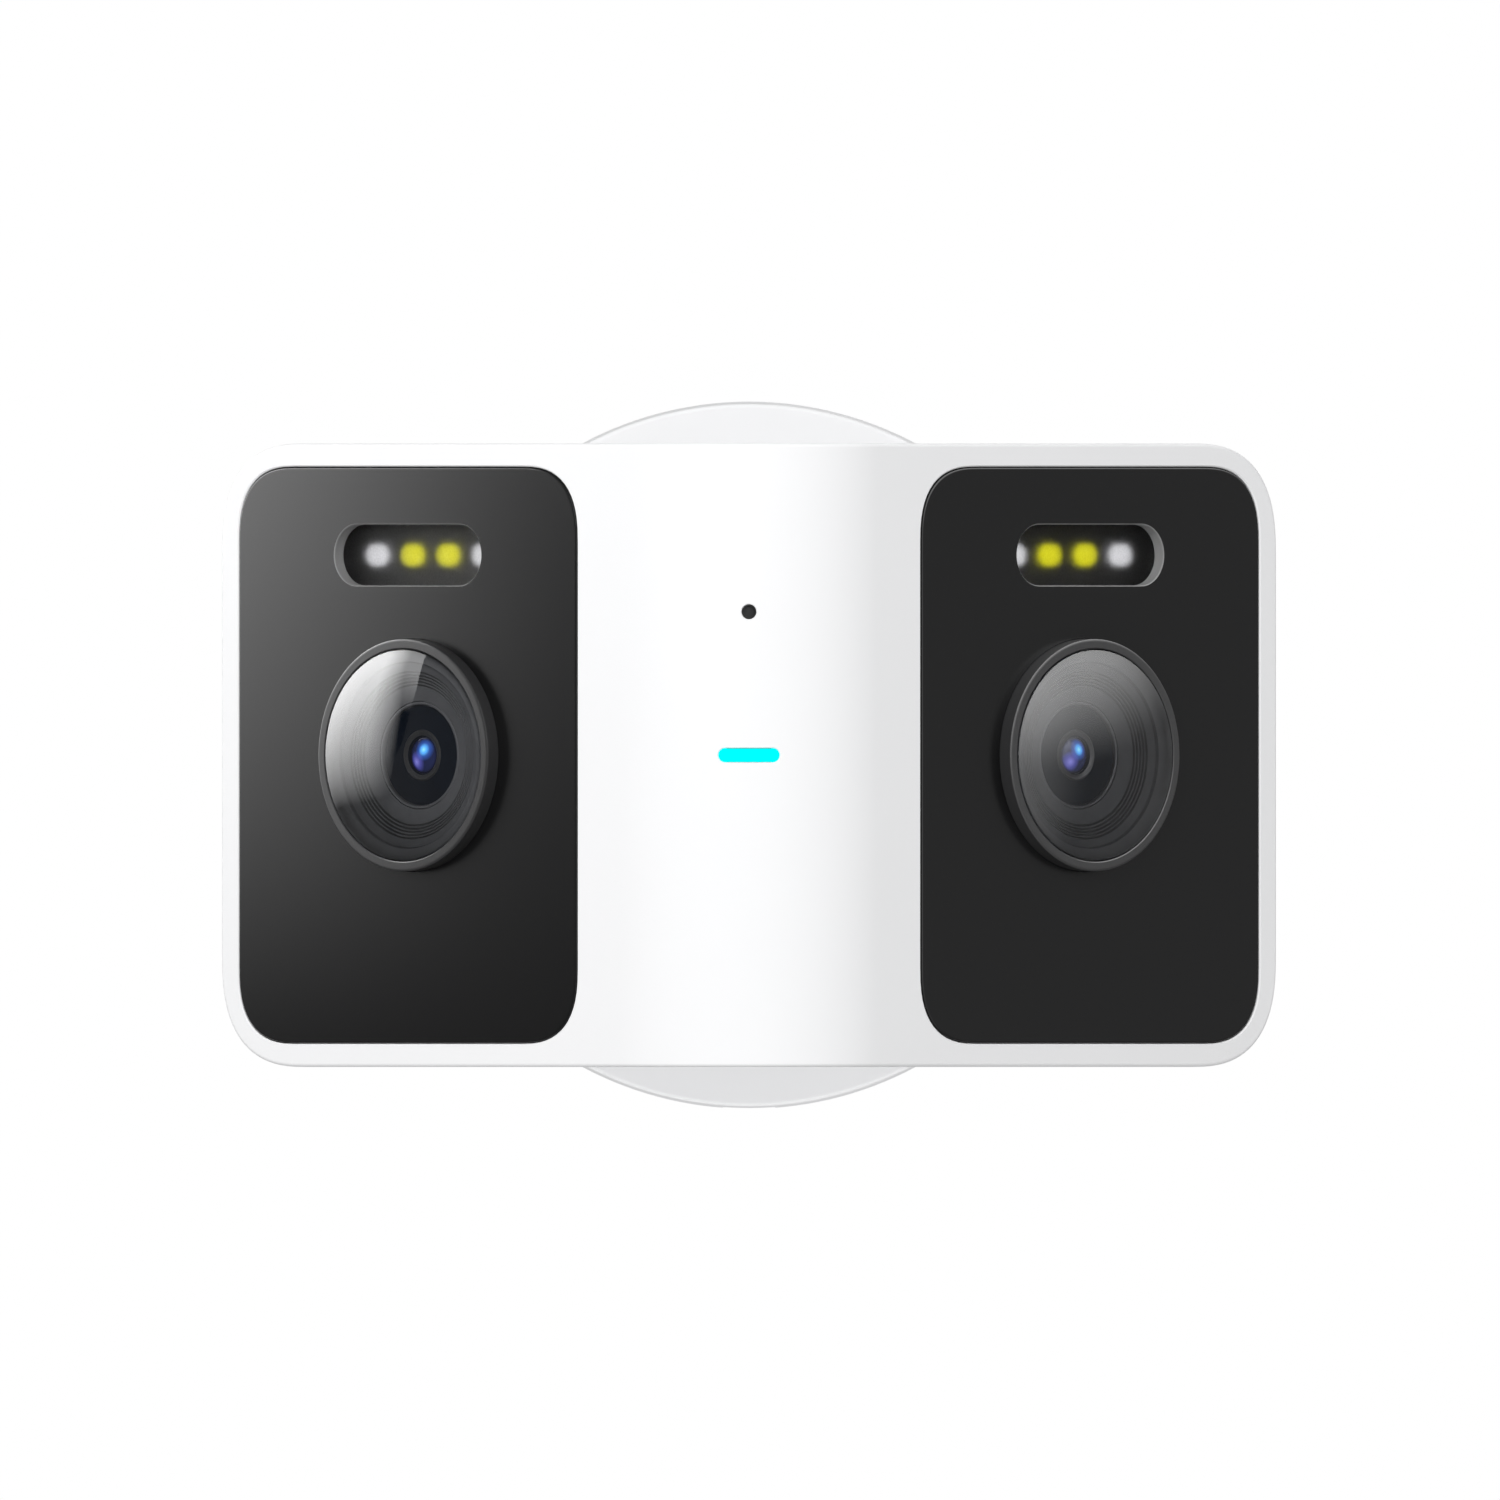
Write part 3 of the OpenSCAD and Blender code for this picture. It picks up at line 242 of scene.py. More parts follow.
def quarter_turn(steps):
    """Angles that divide a quarter turn evenly."""
    return [math.pi / 2 * i / steps for i in range(steps + 1)]


def rounded_front(r, steps=6):
    """Rounded front edge, from an inset of r at the front to none at the depth r."""
    return [(r * (1 - math.sin(a)), r * (1 - math.cos(a))) for a in quarter_turn(steps)]


# ---------------------------------------------------------------- meshes

def build(name, parts):
    """Mesh object in the flat frame, in millimetres, from closed solids."""
    bm = bmesh.new()
    for points, faces in parts:
        verts = [bm.verts.new(point) for point in points]
        for face in faces:
            bm.faces.new([verts[i] for i in face])
    bmesh.ops.remove_doubles(bm, verts=bm.verts, dist=WELD)
    bmesh.ops.dissolve_degenerate(bm, edges=bm.edges, dist=WELD)
    bmesh.ops.recalc_face_normals(bm, faces=bm.faces)
    mesh = bpy.data.meshes.new(name)
    bm.to_mesh(mesh)
    bm.free()
    obj = bpy.data.objects.new(name, mesh)
    scene.collection.objects.link(obj)
    return obj


def baked(obj):
    """The object's mesh becomes what its modifiers make of it."""
    depsgraph = bpy.context.evaluated_depsgraph_get()
    mesh = bpy.data.meshes.new_from_object(obj.evaluated_get(depsgraph))
    obj.modifiers.clear()
    obj.data = mesh


def cut(obj, parts):
    """Takes closed solids out of the object."""
    for number, part in enumerate(parts):
        tool = build(f"{obj.name}_tool{number}", [part])
        modifier = obj.modifiers.new("cut", "BOOLEAN")
        modifier.operation = "DIFFERENCE"
        modifier.solver = "EXACT"
        modifier.object = tool
        bpy.context.view_layer.update()
        baked(obj)
        bpy.data.objects.remove(tool)


def shade(obj, angle=32):
    """Smooth shading that keeps the sharp edges and favours the large faces."""
    obj.data.shade_smooth()
    obj.data.set_sharp_from_angle(angle=math.radians(angle))
    modifier = obj.modifiers.new("normals", "WEIGHTED_NORMAL")
    modifier.keep_sharp = True
    modifier.weight = 90


def place(obj, bend_lines=0):
    """Moves a mesh from the flat frame to the row frame; a piece that crosses the nose is bent in strips."""
    bm = bmesh.new()
    bm.from_mesh(obj.data)
    for i in range(bend_lines):
        q = ARC * (2 * i / (bend_lines - 1) - 1)
        whole = bm.verts[:] + bm.edges[:] + bm.faces[:]
        bmesh.ops.bisect_plane(bm, geom=whole, dist=WELD / 10, plane_co=(q, 0, 0), plane_no=(1, 0, 0))
    if bend_lines:
        bmesh.ops.triangulate(bm, faces=[f for f in bm.faces if len(f.verts) > 4])
    bm.to_mesh(obj.data)
    bm.free()
    shade(obj)
    bpy.context.view_layer.update()
    baked(obj)
    mesh = obj.data
    normals = [normal.vector.copy() for normal in mesh.corner_normals]
    kept = mesh.attributes.new("kept_normal", "FLOAT_VECTOR", "CORNER")
    for i, loop in enumerate(mesh.loops):
        q = mesh.vertices[loop.vertex_index].co.x
        kept.data[i].vector = turn_at(q) @ normals[i]
    for vertex in mesh.vertices:
        vertex.co = bent(*vertex.co) * MM
    bm = bmesh.new()
    bm.from_mesh(mesh)
    bmesh.ops.remove_doubles(bm, verts=bm.verts, dist=WELD * MM)
    bmesh.ops.dissolve_degenerate(bm, edges=bm.edges, dist=WELD * MM)
    bm.to_mesh(mesh)
    bm.free()
    kept = mesh.attributes["kept_normal"]
    mesh.normals_split_custom_set([tuple(item.vector.normalized()) for item in kept.data])
    mesh.attributes.remove(mesh.attributes["kept_normal"])


def place_straight(obj):
    """A mesh made in the row frame, from millimetres to metres."""
    obj.data.transform(Matrix.Scale(MM, 4))
    shade(obj)
    bpy.context.view_layer.update()
    baked(obj)


def joined(name, objects):
    """One object from several, each with its own materials."""
    bpy.ops.object.select_all(action="DESELECT")
    for obj in objects:
        obj.select_set(True)
    bpy.context.view_layer.objects.active = objects[0]
    bpy.ops.object.join()
    objects[0].name = name
    objects[0].data.name = name
    return objects[0]


# ---------------------------------------------------------------- materials

class Finish:
    """A material under construction: short names for its node tree."""

    def __init__(self, name):
        self.name = name
        self.material = bpy.data.materials.new(name)
        self.material.use_nodes = True
        self.tree = self.material.node_tree
        self.shader = self.tree.nodes["Principled BSDF"]
        self.output = self.tree.nodes["Material Output"]
        self.coords = self.add("ShaderNodeTexCoord").outputs["Object"]

    def add(self, kind, **settings):
        node = self.tree.nodes.new(kind)
        for key, value in settings.items():
            setattr(node, key, value)
        return node

    def link(self, source, target):
        self.tree.links.new(source, target)

    def set(self, **values):
        for key, value in values.items():
            self.shader.inputs[key.replace("_", " ")].default_value = value

    def noise(self, size_mm, detail=3.0, rough=0.55):
        """Noise whose features are about size_mm across, from 0 to 1."""
        node = self.add("ShaderNodeTexNoise")
        node.inputs["Scale"].default_value = 1 / (size_mm * MM)
        node.inputs["Detail"].default_value = detail
        node.inputs["Roughness"].default_value = rough
        self.link(self.coords, node.inputs["Vector"])
        return node.outputs["Fac"]

    def ramp(self, factor, stops):
        node = self.add("ShaderNodeValToRGB")
        elements = node.color_ramp.elements
        while len(elements) < len(stops):
            elements.new(0.5)
        for element, (position, colour) in zip(elements, stops):
            element.position = position
            element.color = (*colour, 1)
        self.link(factor, node.inputs["Fac"])
        return node.outputs["Color"]

    def span(self, factor, low_value, high_value, low_in=0.3, high_in=0.7):
        node = self.add("ShaderNodeMapRange")
        node.inputs["From Min"].default_value = low_in
        node.inputs["From Max"].default_value = high_in
        node.inputs["To Min"].default_value = low_value
        node.inputs["To Max"].default_value = high_value
        self.link(factor, node.inputs["Value"])
        return node.outputs["Result"]

    def math(self, operation, a, b=None):
        node = self.add("ShaderNodeMath", operation=operation)
        for socket, value in zip(node.inputs, (a, b)):
            if value is None:
                continue
            if isinstance(value, (int, float)):
                socket.default_value = value
            else:
                self.link(value, socket)
        return node.outputs["Value"]

    def colour_from(self, colour):
        self.link(colour, self.shader.inputs["Base Color"])

    def roughness_from(self, factor, low_value, high_value):
        self.link(self.span(factor, low_value, high_value), self.shader.inputs["Roughness"])

    def bump(self, height, depth_mm, strength=1.0):
        node = self.add("ShaderNodeBump")
        node.inputs["Distance"].default_value = depth_mm * MM
        node.inputs["Strength"].default_value = strength
        self.link(height, node.inputs["Height"])
        self.link(node.outputs["Normal"], self.shader.inputs["Normal"])


def shaded(colour, factor):
    return tuple(min(1.0, channel * factor) for channel in colour)


# Noise stays mostly between these two values
NOISE_LOW, NOISE_HIGH = 0.3, 0.7
MOTTLE_MM, GLOSS_SPREAD = 14, 0.12


def moulded(name, colour, roughness, grain_mm=0.22, depth_mm=0.006, tone=0.02, shine=0.5):
    """Moulded plastic, rubber or metal: fine surface grain, soft mottling and uneven gloss."""
    finish = Finish(name)
    mottle = finish.noise(MOTTLE_MM, 4)
    grain = finish.noise(grain_mm, 2)
    dark, pale = shaded(colour, 1 - tone), shaded(colour, 1 + tone)
    finish.colour_from(finish.ramp(mottle, [(NOISE_LOW, dark), (NOISE_HIGH, pale)]))
    finish.roughness_from(grain, roughness * (1 - GLOSS_SPREAD), min(1, roughness * (1 + GLOSS_SPREAD)))
    finish.bump(grain, depth_mm)
    finish.set(Specular_IOR_Level=shine)
    return finish


def brushed(name, colour, roughness):
    """Metal with fine drawn lines."""
    finish = Finish(name)
    mapping = finish.add("ShaderNodeMapping")
    mapping.inputs["Scale"].default_value = (1, 1, 30)
    finish.link(finish.coords, mapping.inputs["Vector"])
    lines = finish.add("ShaderNodeTexNoise")
    lines.inputs["Scale"].default_value = 90
    lines.inputs["Detail"].default_value = 6
    finish.link(mapping.outputs["Vector"], lines.inputs["Vector"])
    dark, pale = shaded(colour, 0.85), shaded(colour, 1.08)
    finish.colour_from(finish.ramp(lines.outputs["Fac"], [(NOISE_LOW, dark), (NOISE_HIGH, pale)]))
    finish.roughness_from(lines.outputs["Fac"], roughness * 0.8, roughness * 1.25)
    finish.bump(lines.outputs["Fac"], 0.01, 0.4)
    finish.set(Metallic=1.0)
    return finish


def circuit(name, colour, trace):
    """Printed board: solder mask over faint traces and pads."""
    finish = Finish(name)
    cells = finish.add("ShaderNodeTexVoronoi", feature="DISTANCE_TO_EDGE", distance="MANHATTAN")
    cells.inputs["Scale"].default_value = 420
    finish.link(finish.coords, cells.inputs["Vector"])
    finish.colour_from(finish.ramp(cells.outputs["Distance"], [(0.03, trace), (0.07, colour)]))
    finish.roughness_from(finish.noise(0.5), 0.32, 0.48)
    finish.bump(cells.outputs["Distance"], 0.03, 0.5)
    finish.set(IOR=1.5)
    return finish


def see_through(name, tint, gloss_colour, ior, gloss_boost):
    """Clear dark glass: a Fresnel reflection over a tinted view of what is behind, which light reaches."""
    finish = Finish(name)
    haze = finish.noise(6, 3)
    clear = finish.add("ShaderNodeBsdfTransparent")
    dark, pale = shaded(tint, 0.96), shaded(tint, 1.04)
    finish.link(finish.ramp(haze, [(NOISE_LOW, dark), (NOISE_HIGH, pale)]), clear.inputs["Color"])
    gloss = finish.add("ShaderNodeBsdfGlossy")
    gloss.inputs["Color"].default_value = (*gloss_colour, 1)
    gloss.inputs["Roughness"].default_value = 0.0
    fresnel = finish.add("ShaderNodeFresnel")
    fresnel.inputs["IOR"].default_value = ior
    factor = finish.math("MINIMUM", finish.math("MULTIPLY", fresnel.outputs["Fac"], gloss_boost), 1.0)
    mix = finish.add("ShaderNodeMixShader")
    finish.link(factor, mix.inputs["Fac"])
    finish.link(clear.outputs["BSDF"], mix.inputs[1])
    finish.link(gloss.outputs["BSDF"], mix.inputs[2])
    finish.link(mix.outputs["Shader"], finish.output.inputs["Surface"])
    finish.tree.nodes.remove(finish.shader)
    return finish


def face_panel():
    """Smooth black plastic with a satin sheen."""
    finish = Finish("black_panel")
    grain = finish.noise(0.12, 2)
    finish.colour_from(finish.ramp(grain, [
        (NOISE_LOW, (0.0052, 0.0052, 0.0054)), (NOISE_HIGH, (0.006, 0.006, 0.0062)),
    ]))
    finish.roughness_from(grain, 0.235, 0.255)
    finish.bump(grain, 0.0004)
    finish.set(IOR=1.45, Specular_IOR_Level=0.48)
    return finish


def woven(name):
    """Fine black screen cloth."""
    finish = Finish(name)
    weave = finish.add("ShaderNodeTexVoronoi", feature="F1")
    weave.inputs["Scale"].default_value = 7000
    finish.link(finish.coords, weave.inputs["Vector"])
    finish.colour_from(finish.ramp(weave.outputs["Distance"], [
        (0.2, (0.005, 0.005, 0.005)), (0.6, (0.018, 0.018, 0.019)),
    ]))
    finish.bump(weave.outputs["Distance"], 0.05, 0.5)
    finish.set(Roughness=0.6)
    return finish


# What the mesh of a front element calls each point's place on the glass, 1 at its rim; it places the painted glint
ON_GLASS = "on_glass"


def coated_glass():
    """Dark coated glass with a painted reflection: a round blue glint up on its right and a violet one low on its
    left, painted into its colour and its glow, and darkened at its rim.
    """
    finish = Finish("coated_glass")
    on_glass = finish.add("ShaderNodeAttribute", attribute_name=ON_GLASS).outputs["Vector"]

    def away_from(right, up):
        gap = finish.add("ShaderNodeVectorMath", operation="DISTANCE")
        finish.link(on_glass, gap.inputs[0])
        gap.inputs[1].default_value = (right, up, 0)
        return gap.outputs["Value"]

    def tinted(operation, a, b):
        node = finish.add("ShaderNodeMix", data_type="RGBA", blend_type=operation)
        node.inputs["Factor"].default_value = 1
        finish.link(a, node.inputs[6])
        finish.link(b, node.inputs[7])
        return node.outputs[2]

    # Painted glints: a blue spot and a violet spot set at fixed places on the glass
    blue = finish.ramp(away_from(0.17, 0.3), [
        (0.0, (0.3, 0.75, 1.0)), (0.16, (0.1, 0.45, 0.9)),
        (0.36, (0.02, 0.07, 0.3)), (0.62, (0.003, 0.005, 0.02)),
    ])
    violet = finish.ramp(away_from(-0.4, -0.36), [
        (0.0, (0.2, 0.19, 0.55)), (0.3, (0.06, 0.06, 0.28)), (0.6, (0.006, 0.008, 0.03)),
    ])
    rim = finish.ramp(away_from(0.0, 0.0), [
        (0.8, (1, 1, 1)), (0.93, (0.25, 0.25, 0.3)), (1.0, (0.1, 0.1, 0.12)),
    ])
    # The painted glint, faded at the rim, is both the glass's colour and its glow
    painted_glint = tinted("MULTIPLY", tinted("ADD", blue, violet), rim)
    finish.colour_from(painted_glint)
    finish.link(painted_glint, finish.shader.inputs["Emission Color"])
    finish.bump(finish.noise(1.5), 0.002)
    finish.set(Roughness=0.08, Emission_Strength=0.9, Specular_IOR_Level=0.3)
    return finish


def smoked_window():
    """Smoked plastic with a fine frost that blurs what is behind it."""
    finish = Finish("smoked_window")
    frost = finish.noise(0.28, 2)
    finish.colour_from(finish.ramp(frost, [
        (NOISE_LOW, (0.29, 0.29, 0.298)), (NOISE_HIGH, (0.425, 0.425, 0.434)),
    ]))
    finish.roughness_from(frost, 0.42, 0.54)
    finish.bump(frost, 0.02)
    finish.set(Transmission_Weight=0.985, IOR=1.25, Specular_Tint=(0.07, 0.07, 0.07, 1.0))
    return finish


def lit(name, colour, strength, body=None, shine=0.5):
    """Lens that glows evenly, with a fine cloudiness."""
    finish = Finish(name)
    texture = finish.noise(0.4, 2)
    body = body or colour
    glow = finish.ramp(texture, [(0.2, shaded(colour, 0.96)), (0.8, colour)])
    finish.colour_from(finish.ramp(texture, [(0.2, shaded(body, 0.9)), (0.8, body)]))
    finish.link(glow, finish.shader.inputs["Emission Color"])
    finish.bump(texture, 0.01)
    finish.set(Emission_Strength=strength, Roughness=0.35, Specular_IOR_Level=shine)
    return finish


finishes = [
    moulded("white_shell", (0.89, 0.892, 0.9), 0.55, grain_mm=0.35, depth_mm=0.012, tone=0.004, shine=0.25),
    moulded("white_metal", (0.84, 0.845, 0.85), 0.42, grain_mm=0.5, depth_mm=0.015),
    moulded("door_plastic", (0.88, 0.885, 0.89), 0.5, tone=0.004),
    face_panel(),
    # Pale grey on the walls of the lamp's opening: a painted highlight on what is black plastic
    moulded("lamp_wall_painted_highlight", (0.24, 0.24, 0.242), 0.5, grain_mm=0.15, tone=0.05),
    moulded("ring_black", (0.03, 0.03, 0.031), 0.34, tone=0.03, shine=0.62),
    moulded("baffle_black", (0.17, 0.17, 0.172), 0.6, tone=0.03, shine=0.12),
    moulded("holder_black", (0.02, 0.02, 0.021), 0.5),
    moulded("boot_rubber", (0.018, 0.018, 0.018), 0.7),
    woven("mic_mesh"),
    moulded("speaker_black", (0.025, 0.025, 0.026), 0.55),
    moulded("foam_rubber", (0.03, 0.03, 0.03), 0.9, grain_mm=0.6, depth_mm=0.1),
    moulded("seal_rubber", (0.02, 0.02, 0.02), 0.6),
    moulded("washer_black", (0.03, 0.03, 0.03), 0.45),
    moulded("card_black", (0.015, 0.015, 0.017), 0.35),
    moulded("button_plastic", (0.09, 0.09, 0.1), 0.45),
    moulded("bush_acetal", (0.8, 0.8, 0.76), 0.4),
    moulded("terminal_nylon", (0.78, 0.78, 0.72), 0.45),
    moulded("transformer_tape", (0.75, 0.6, 0.12), 0.35, tone=0.08),
    moulded("capacitor_sleeve", (0.03, 0.03, 0.06), 0.3),
    moulded("ribbon_film", (0.6, 0.35, 0.06), 0.3, tone=0.1),
    moulded("sensor_package", (0.06, 0.06, 0.065), 0.25),
    moulded("led_body", (0.05, 0.05, 0.045), 0.4),
    brushed("screw_steel", (0.6, 0.6, 0.62), 0.3),
    brushed("zinc_steel", (0.62, 0.63, 0.66), 0.38),
    brushed("spring_steel", (0.5, 0.5, 0.52), 0.3),
    brushed("sink_aluminium", (0.75, 0.76, 0.78), 0.4),
    brushed("brass", (0.75, 0.55, 0.22), 0.3),
    circuit("green_board", (0.01, 0.09, 0.035), (0.03, 0.2, 0.07)),
    circuit("black_board", (0.012, 0.012, 0.013), (0.03, 0.03, 0.032)),
    circuit("antenna_board", (0.01, 0.03, 0.012), (0.5, 0.35, 0.12)),
    moulded("barrel_black", (0.005, 0.009, 0.017), 0.3, tone=0.04, shine=0.08),
    moulded("retainer_grey", (0.05, 0.05, 0.051), 0.35, tone=0.04),
    moulded("rim_grey", (0.16, 0.16, 0.165), 0.35, tone=0.04),
    see_through("dome_glass", (0.82, 0.83, 0.85), (1, 1, 1), 1.52, 1.5),
    see_through("coated_back", (0.98, 0.98, 0.98), (0.5, 0.55, 0.7), 1.1, 0.1),
    coated_glass(),
    smoked_window(),
    lit("white_led", (1.0, 0.955, 0.0), 1.82),
    lit("infrared_led", (0.9, 0.9, 0.91), 2.02),
    lit("status_light", (0.0, 1.0, 1.0), 1.15, (0.0, 0.02, 0.02), 0.0),
]
materials = {finish.name: finish.material for finish in finishes}


def wear(obj, slot, body, *nodes, has_materials=False):
    """Gives a finished piece the material of its slot unless it has its own, hangs it on its body and hides the
    CAD nodes that it stands for.
    """
    if not has_materials:
        obj.data.materials.clear()
        obj.data.materials.append(materials[slot])
    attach(obj, body)
    if nodes:
        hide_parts(*nodes)
    return obj


# ---------------------------------------------------------------- head shells

HEAD_W = 2 * (ARC + WING_LEN)
BEND_LINES = 49
CORNER_STEPS = 22
FRONT_EDGE_R = 0.6

# The line where the shells meet: half its gap, and the chamfer on each side
SEAM_HALF, SEAM_CHAMFER = 0.05, 0.2

# Holes: chamfer of the microphone hole, lip of the status bar's slot, and the speaker's grille
MIC_LIP, SLOT_LIP = 0.12, 0.1
SPEAKER_Q, SPEAKER_T = ARC + 46.0, 12.0
GRILLE_R, GRILLE_LIP, GRILLE_DEPTH = 0.8, 0.2, 4.0
GRILLE_PITCH_Q, GRILLE_PITCH_T, GRILLE_COLUMNS, GRILLE_ROWS = 3.0, 3.5, 3, 1

# Shell screws: places from the nose's tangent line, hole radius, seat depth, and chamfer with its lift
SHELL_SCREWS = ((16, 39.5), (16, -39.5), (77, 0))
SCREW_HOLE_R, SCREW_SEAT, SCREW_CHAMFER, SCREW_LIFT = 3.2, 2.6, 0.4, 0.1

# Spine behind the nose that carries the tilt joint
SPINE_Y, SPINE_ROOT, SPINE_HALF_H, SPINE_EASE = 15.0, 1.0, 24.0, 0.5


def rod(q, z, r, t0, t1, steps=48):
    """Cylinder along t."""
    return lathe([(0, t0), (r, t0), (r, t1), (0, t1)], q, z, steps)


def both(part):
    """A solid and its mirror image."""
    return [part, mirrored(part)]


def eased_cut(w, h, r, depth, q, z, lip=0.2, softness=SOFTNESS):
    """Pocket with a chamfered lip."""
    profile = [(-lip, -PAST), (-lip, 0), (0, lip), (0, depth)]
    return slab(w, h, r, profile, q, z, softness)


def grille_hole(column, row):
    """One sound hole of the speaker, in the underside of the right wing."""
    face, mouth_r = -HEAD_HALF, GRILLE_R + GRILLE_LIP
    profile = [
        (0, face - PAST), (mouth_r, face - PAST), (GRILLE_R, face + GRILLE_LIP),
        (GRILLE_R, face + GRILLE_DEPTH), (0, face + GRILLE_DEPTH),
    ]
    q, t = SPEAKER_Q + GRILLE_PITCH_Q * column, SPEAKER_T + GRILLE_PITCH_T * row
    return lathe(profile, q, t, 20, "z")


def front_openings():
    """Everything that is cut out of the front shell."""
    through = PAN_BACK + PAST
    parts = both(eased_cut(PANEL_W + 2 * FIT, PANEL_H + 2 * FIT, PANEL_R, RECESS_T, PANEL_Q, 0))
    parts += both(rod(LENS_Q, 0, RING_R + FIT, -PAST, through, 96))
    parts += both(bar(WINDOW_W, WINDOW_H, [(0, PAST), (0, through)], PANEL_Q, LAMP_Z))
    mouth_r = MIC_R + MIC_LIP
    parts.append(lathe(
        [(0, -PAST), (mouth_r, -PAST), (mouth_r, 0), (MIC_R, MIC_LIP), (MIC_R, through), (0, through)],
        0, MIC_Z, 64,
    ))
    slot_w, slot_h = BAR_W + FIT, BAR_H + FIT
    parts.append(eased_cut(slot_w, slot_h, slot_h / 2, through, 0, 0, SLOT_LIP, 2))
    for column in range(-GRILLE_COLUMNS, GRILLE_COLUMNS + 1):
        for row in range(-GRILLE_ROWS, GRILLE_ROWS + 1):
            parts.append(grille_hole(column, row))
    parts.append(box(
        (DOOR_Q0 - FIT, DOOR_T0, -HEAD_HALF - PAST),
        (DOOR_Q1 + FIT, HINGE_T + HINGE_R + FIT, DOOR_FLOOR),
    ))
    return parts


front_profile = rounded_front(FRONT_EDGE_R) + [
    (0, SPLIT - SEAM_HALF - SEAM_CHAMFER), (SEAM_CHAMFER, SPLIT - SEAM_HALF),
    (WALL, SPLIT - SEAM_HALF), (WALL, PAN_BACK),
]
front_shell = build("shell_front", [
    slab(HEAD_W, 2 * HEAD_HALF, CORNER_R, front_profile, steps=CORNER_STEPS)
])
cut(front_shell, front_openings())
place(front_shell, BEND_LINES)
wear(front_shell, "white_shell", "camera", "front_shell")


def rounded_back(r, steps):
    """Round of radius r about the centre of the back edge, from the side to the back."""
    return [
        (BACK_R - r * math.cos(a), SPLIT + BACK_FLAT + r * math.sin(a))
        for a in quarter_turn(steps)
    ]


def counterbore(s, z):
    """Sunk hole for the head of a shell screw, at s from the nose's tangent line."""
    chamfer_t = NOSE_R + SCREW_LIFT - SCREW_CHAMFER
    mouth_r = SCREW_HOLE_R + SCREW_CHAMFER
    profile = [
        (0, NOSE_R - SCREW_SEAT), (SCREW_HOLE_R, NOSE_R - SCREW_SEAT), (SCREW_HOLE_R, chamfer_t),
        (mouth_r, NOSE_R + SCREW_LIFT), (mouth_r, NOSE_R + PAST), (0, NOSE_R + PAST),
    ]
    return lathe(profile, ARC + s, z, 48)


def spine_outline(z, ease):
    """The spine's outline at one height, in the row frame."""
    half_w = SPINE_Y / math.tan(ANGLE) - ease
    root, back = NOSE_Y - SPINE_ROOT, NOSE_Y + SPINE_Y
    return [
        (0, root, z), (half_w, back - SPINE_ROOT, z), (half_w, back - ease, z),
        (-half_w, back - ease, z), (-half_w, back - SPINE_ROOT, z),
    ]


rear_profile = rounded_back(BACK_R - WALL, 4)[::-1] + [
    (WALL, SPLIT + SEAM_HALF), (SEAM_CHAMFER, SPLIT + SEAM_HALF), (0, SPLIT + SEAM_HALF + SEAM_CHAMFER),
] + rounded_back(BACK_R, 12)
rear_shell = build("shell_rear", [
    slab(HEAD_W, 2 * HEAD_HALF, CORNER_R, rear_profile, steps=CORNER_STEPS)
])
counterbores = []
for s, z in SHELL_SCREWS:
    counterbores += both(counterbore(s, z))
cut(rear_shell, counterbores)
place(rear_shell, BEND_LINES)
spine = build("spine", [skin([
    spine_outline(z, ease) for ease, z in eased_ends(-SPINE_HALF_H, SPINE_HALF_H, SPINE_EASE)
])])
place_straight(spine)
rear_shell = joined("shell_rear", [rear_shell, spine])
wear(rear_shell, "white_shell", "camera", "rear_shell")


# ---------------------------------------------------------------- face panels, lenses and LED windows

PANEL_EDGE_R, LAMP_LIP = 0.3, 0.14

# Lens ring: its outer front edge as (in from the side, down from the face), and its foot behind the panel
RING_EDGE = ((0.45, 0), (0.2, 0.06), (0.05, 0.2), (0, 0.45))
RING_FOOT_W, RING_FOOT_T = 2.0, 1.5

# Baffle: a cone from its rim down to the barrel, with V grooves
BAFFLE_GAP, BARREL_GAP, BAFFLE_RIM_R = 0.06, 0.1, 15.1
BAFFLE_CHAMFER_R, BAFFLE_CHAMFER_T = 0.1, 0.06
CONE_R, CONE_T = 14.8, -0.74
CONE_SLOPE = (BARREL_FRONT - CONE_T) / (CONE_R - BARREL_R - BARREL_GAP)
BAFFLE_BACK = BARREL_FRONT + 2
GROOVE_R, GROOVE_PITCH, GROOVE_COUNT = 13.35, 0.52, 5
GROOVE_HALF, GROOVE_FLOOR_HALF, GROOVE_DEPTH = 0.17, 0.03, 0.6

# Barrel: the black face, the grey retainer round the front element and the grey rim
FACE_R, FACE_T = 8.0, BARREL_FRONT + 0.5
RETAINER_R0, RETAINER_R1 = 3.15, 4.1
BORE_R, SEAT_T = 6.0, BARREL_FRONT + 3.5

DOME_R, DOME_INNER_R, DOME_STEPS = GLASS_R - 0.2, GLASS_R - 1.0, 20
ELEMENT_GAP, ELEMENT_EDGE, ELEMENT_RISE, ELEMENT_STEPS = 0.02, 0.35, 0.75, 16


def cap_profile(radius, rise, apex, steps):
    """Points of a shallow spherical cap from its apex out to its rim."""
    ball = (radius * radius + rise * rise) / (2 * rise)
    edge = math.asin(radius / ball)
    return [
        (ball * math.sin(edge * i / steps), apex + ball * (1 - math.cos(edge * i / steps)))
        for i in range(steps + 1)
    ]


def groove(r):
    """A V groove in the baffle's cone, centred at r."""
    corners = (
        (GROOVE_HALF, 0), (GROOVE_FLOOR_HALF, GROOVE_DEPTH),
        (-GROOVE_FLOOR_HALF, GROOVE_DEPTH), (-GROOVE_HALF, 0),
    )
    return [(r + offset, CONE_T + (CONE_R - r - offset) * CONE_SLOPE + depth) for offset, depth in corners]


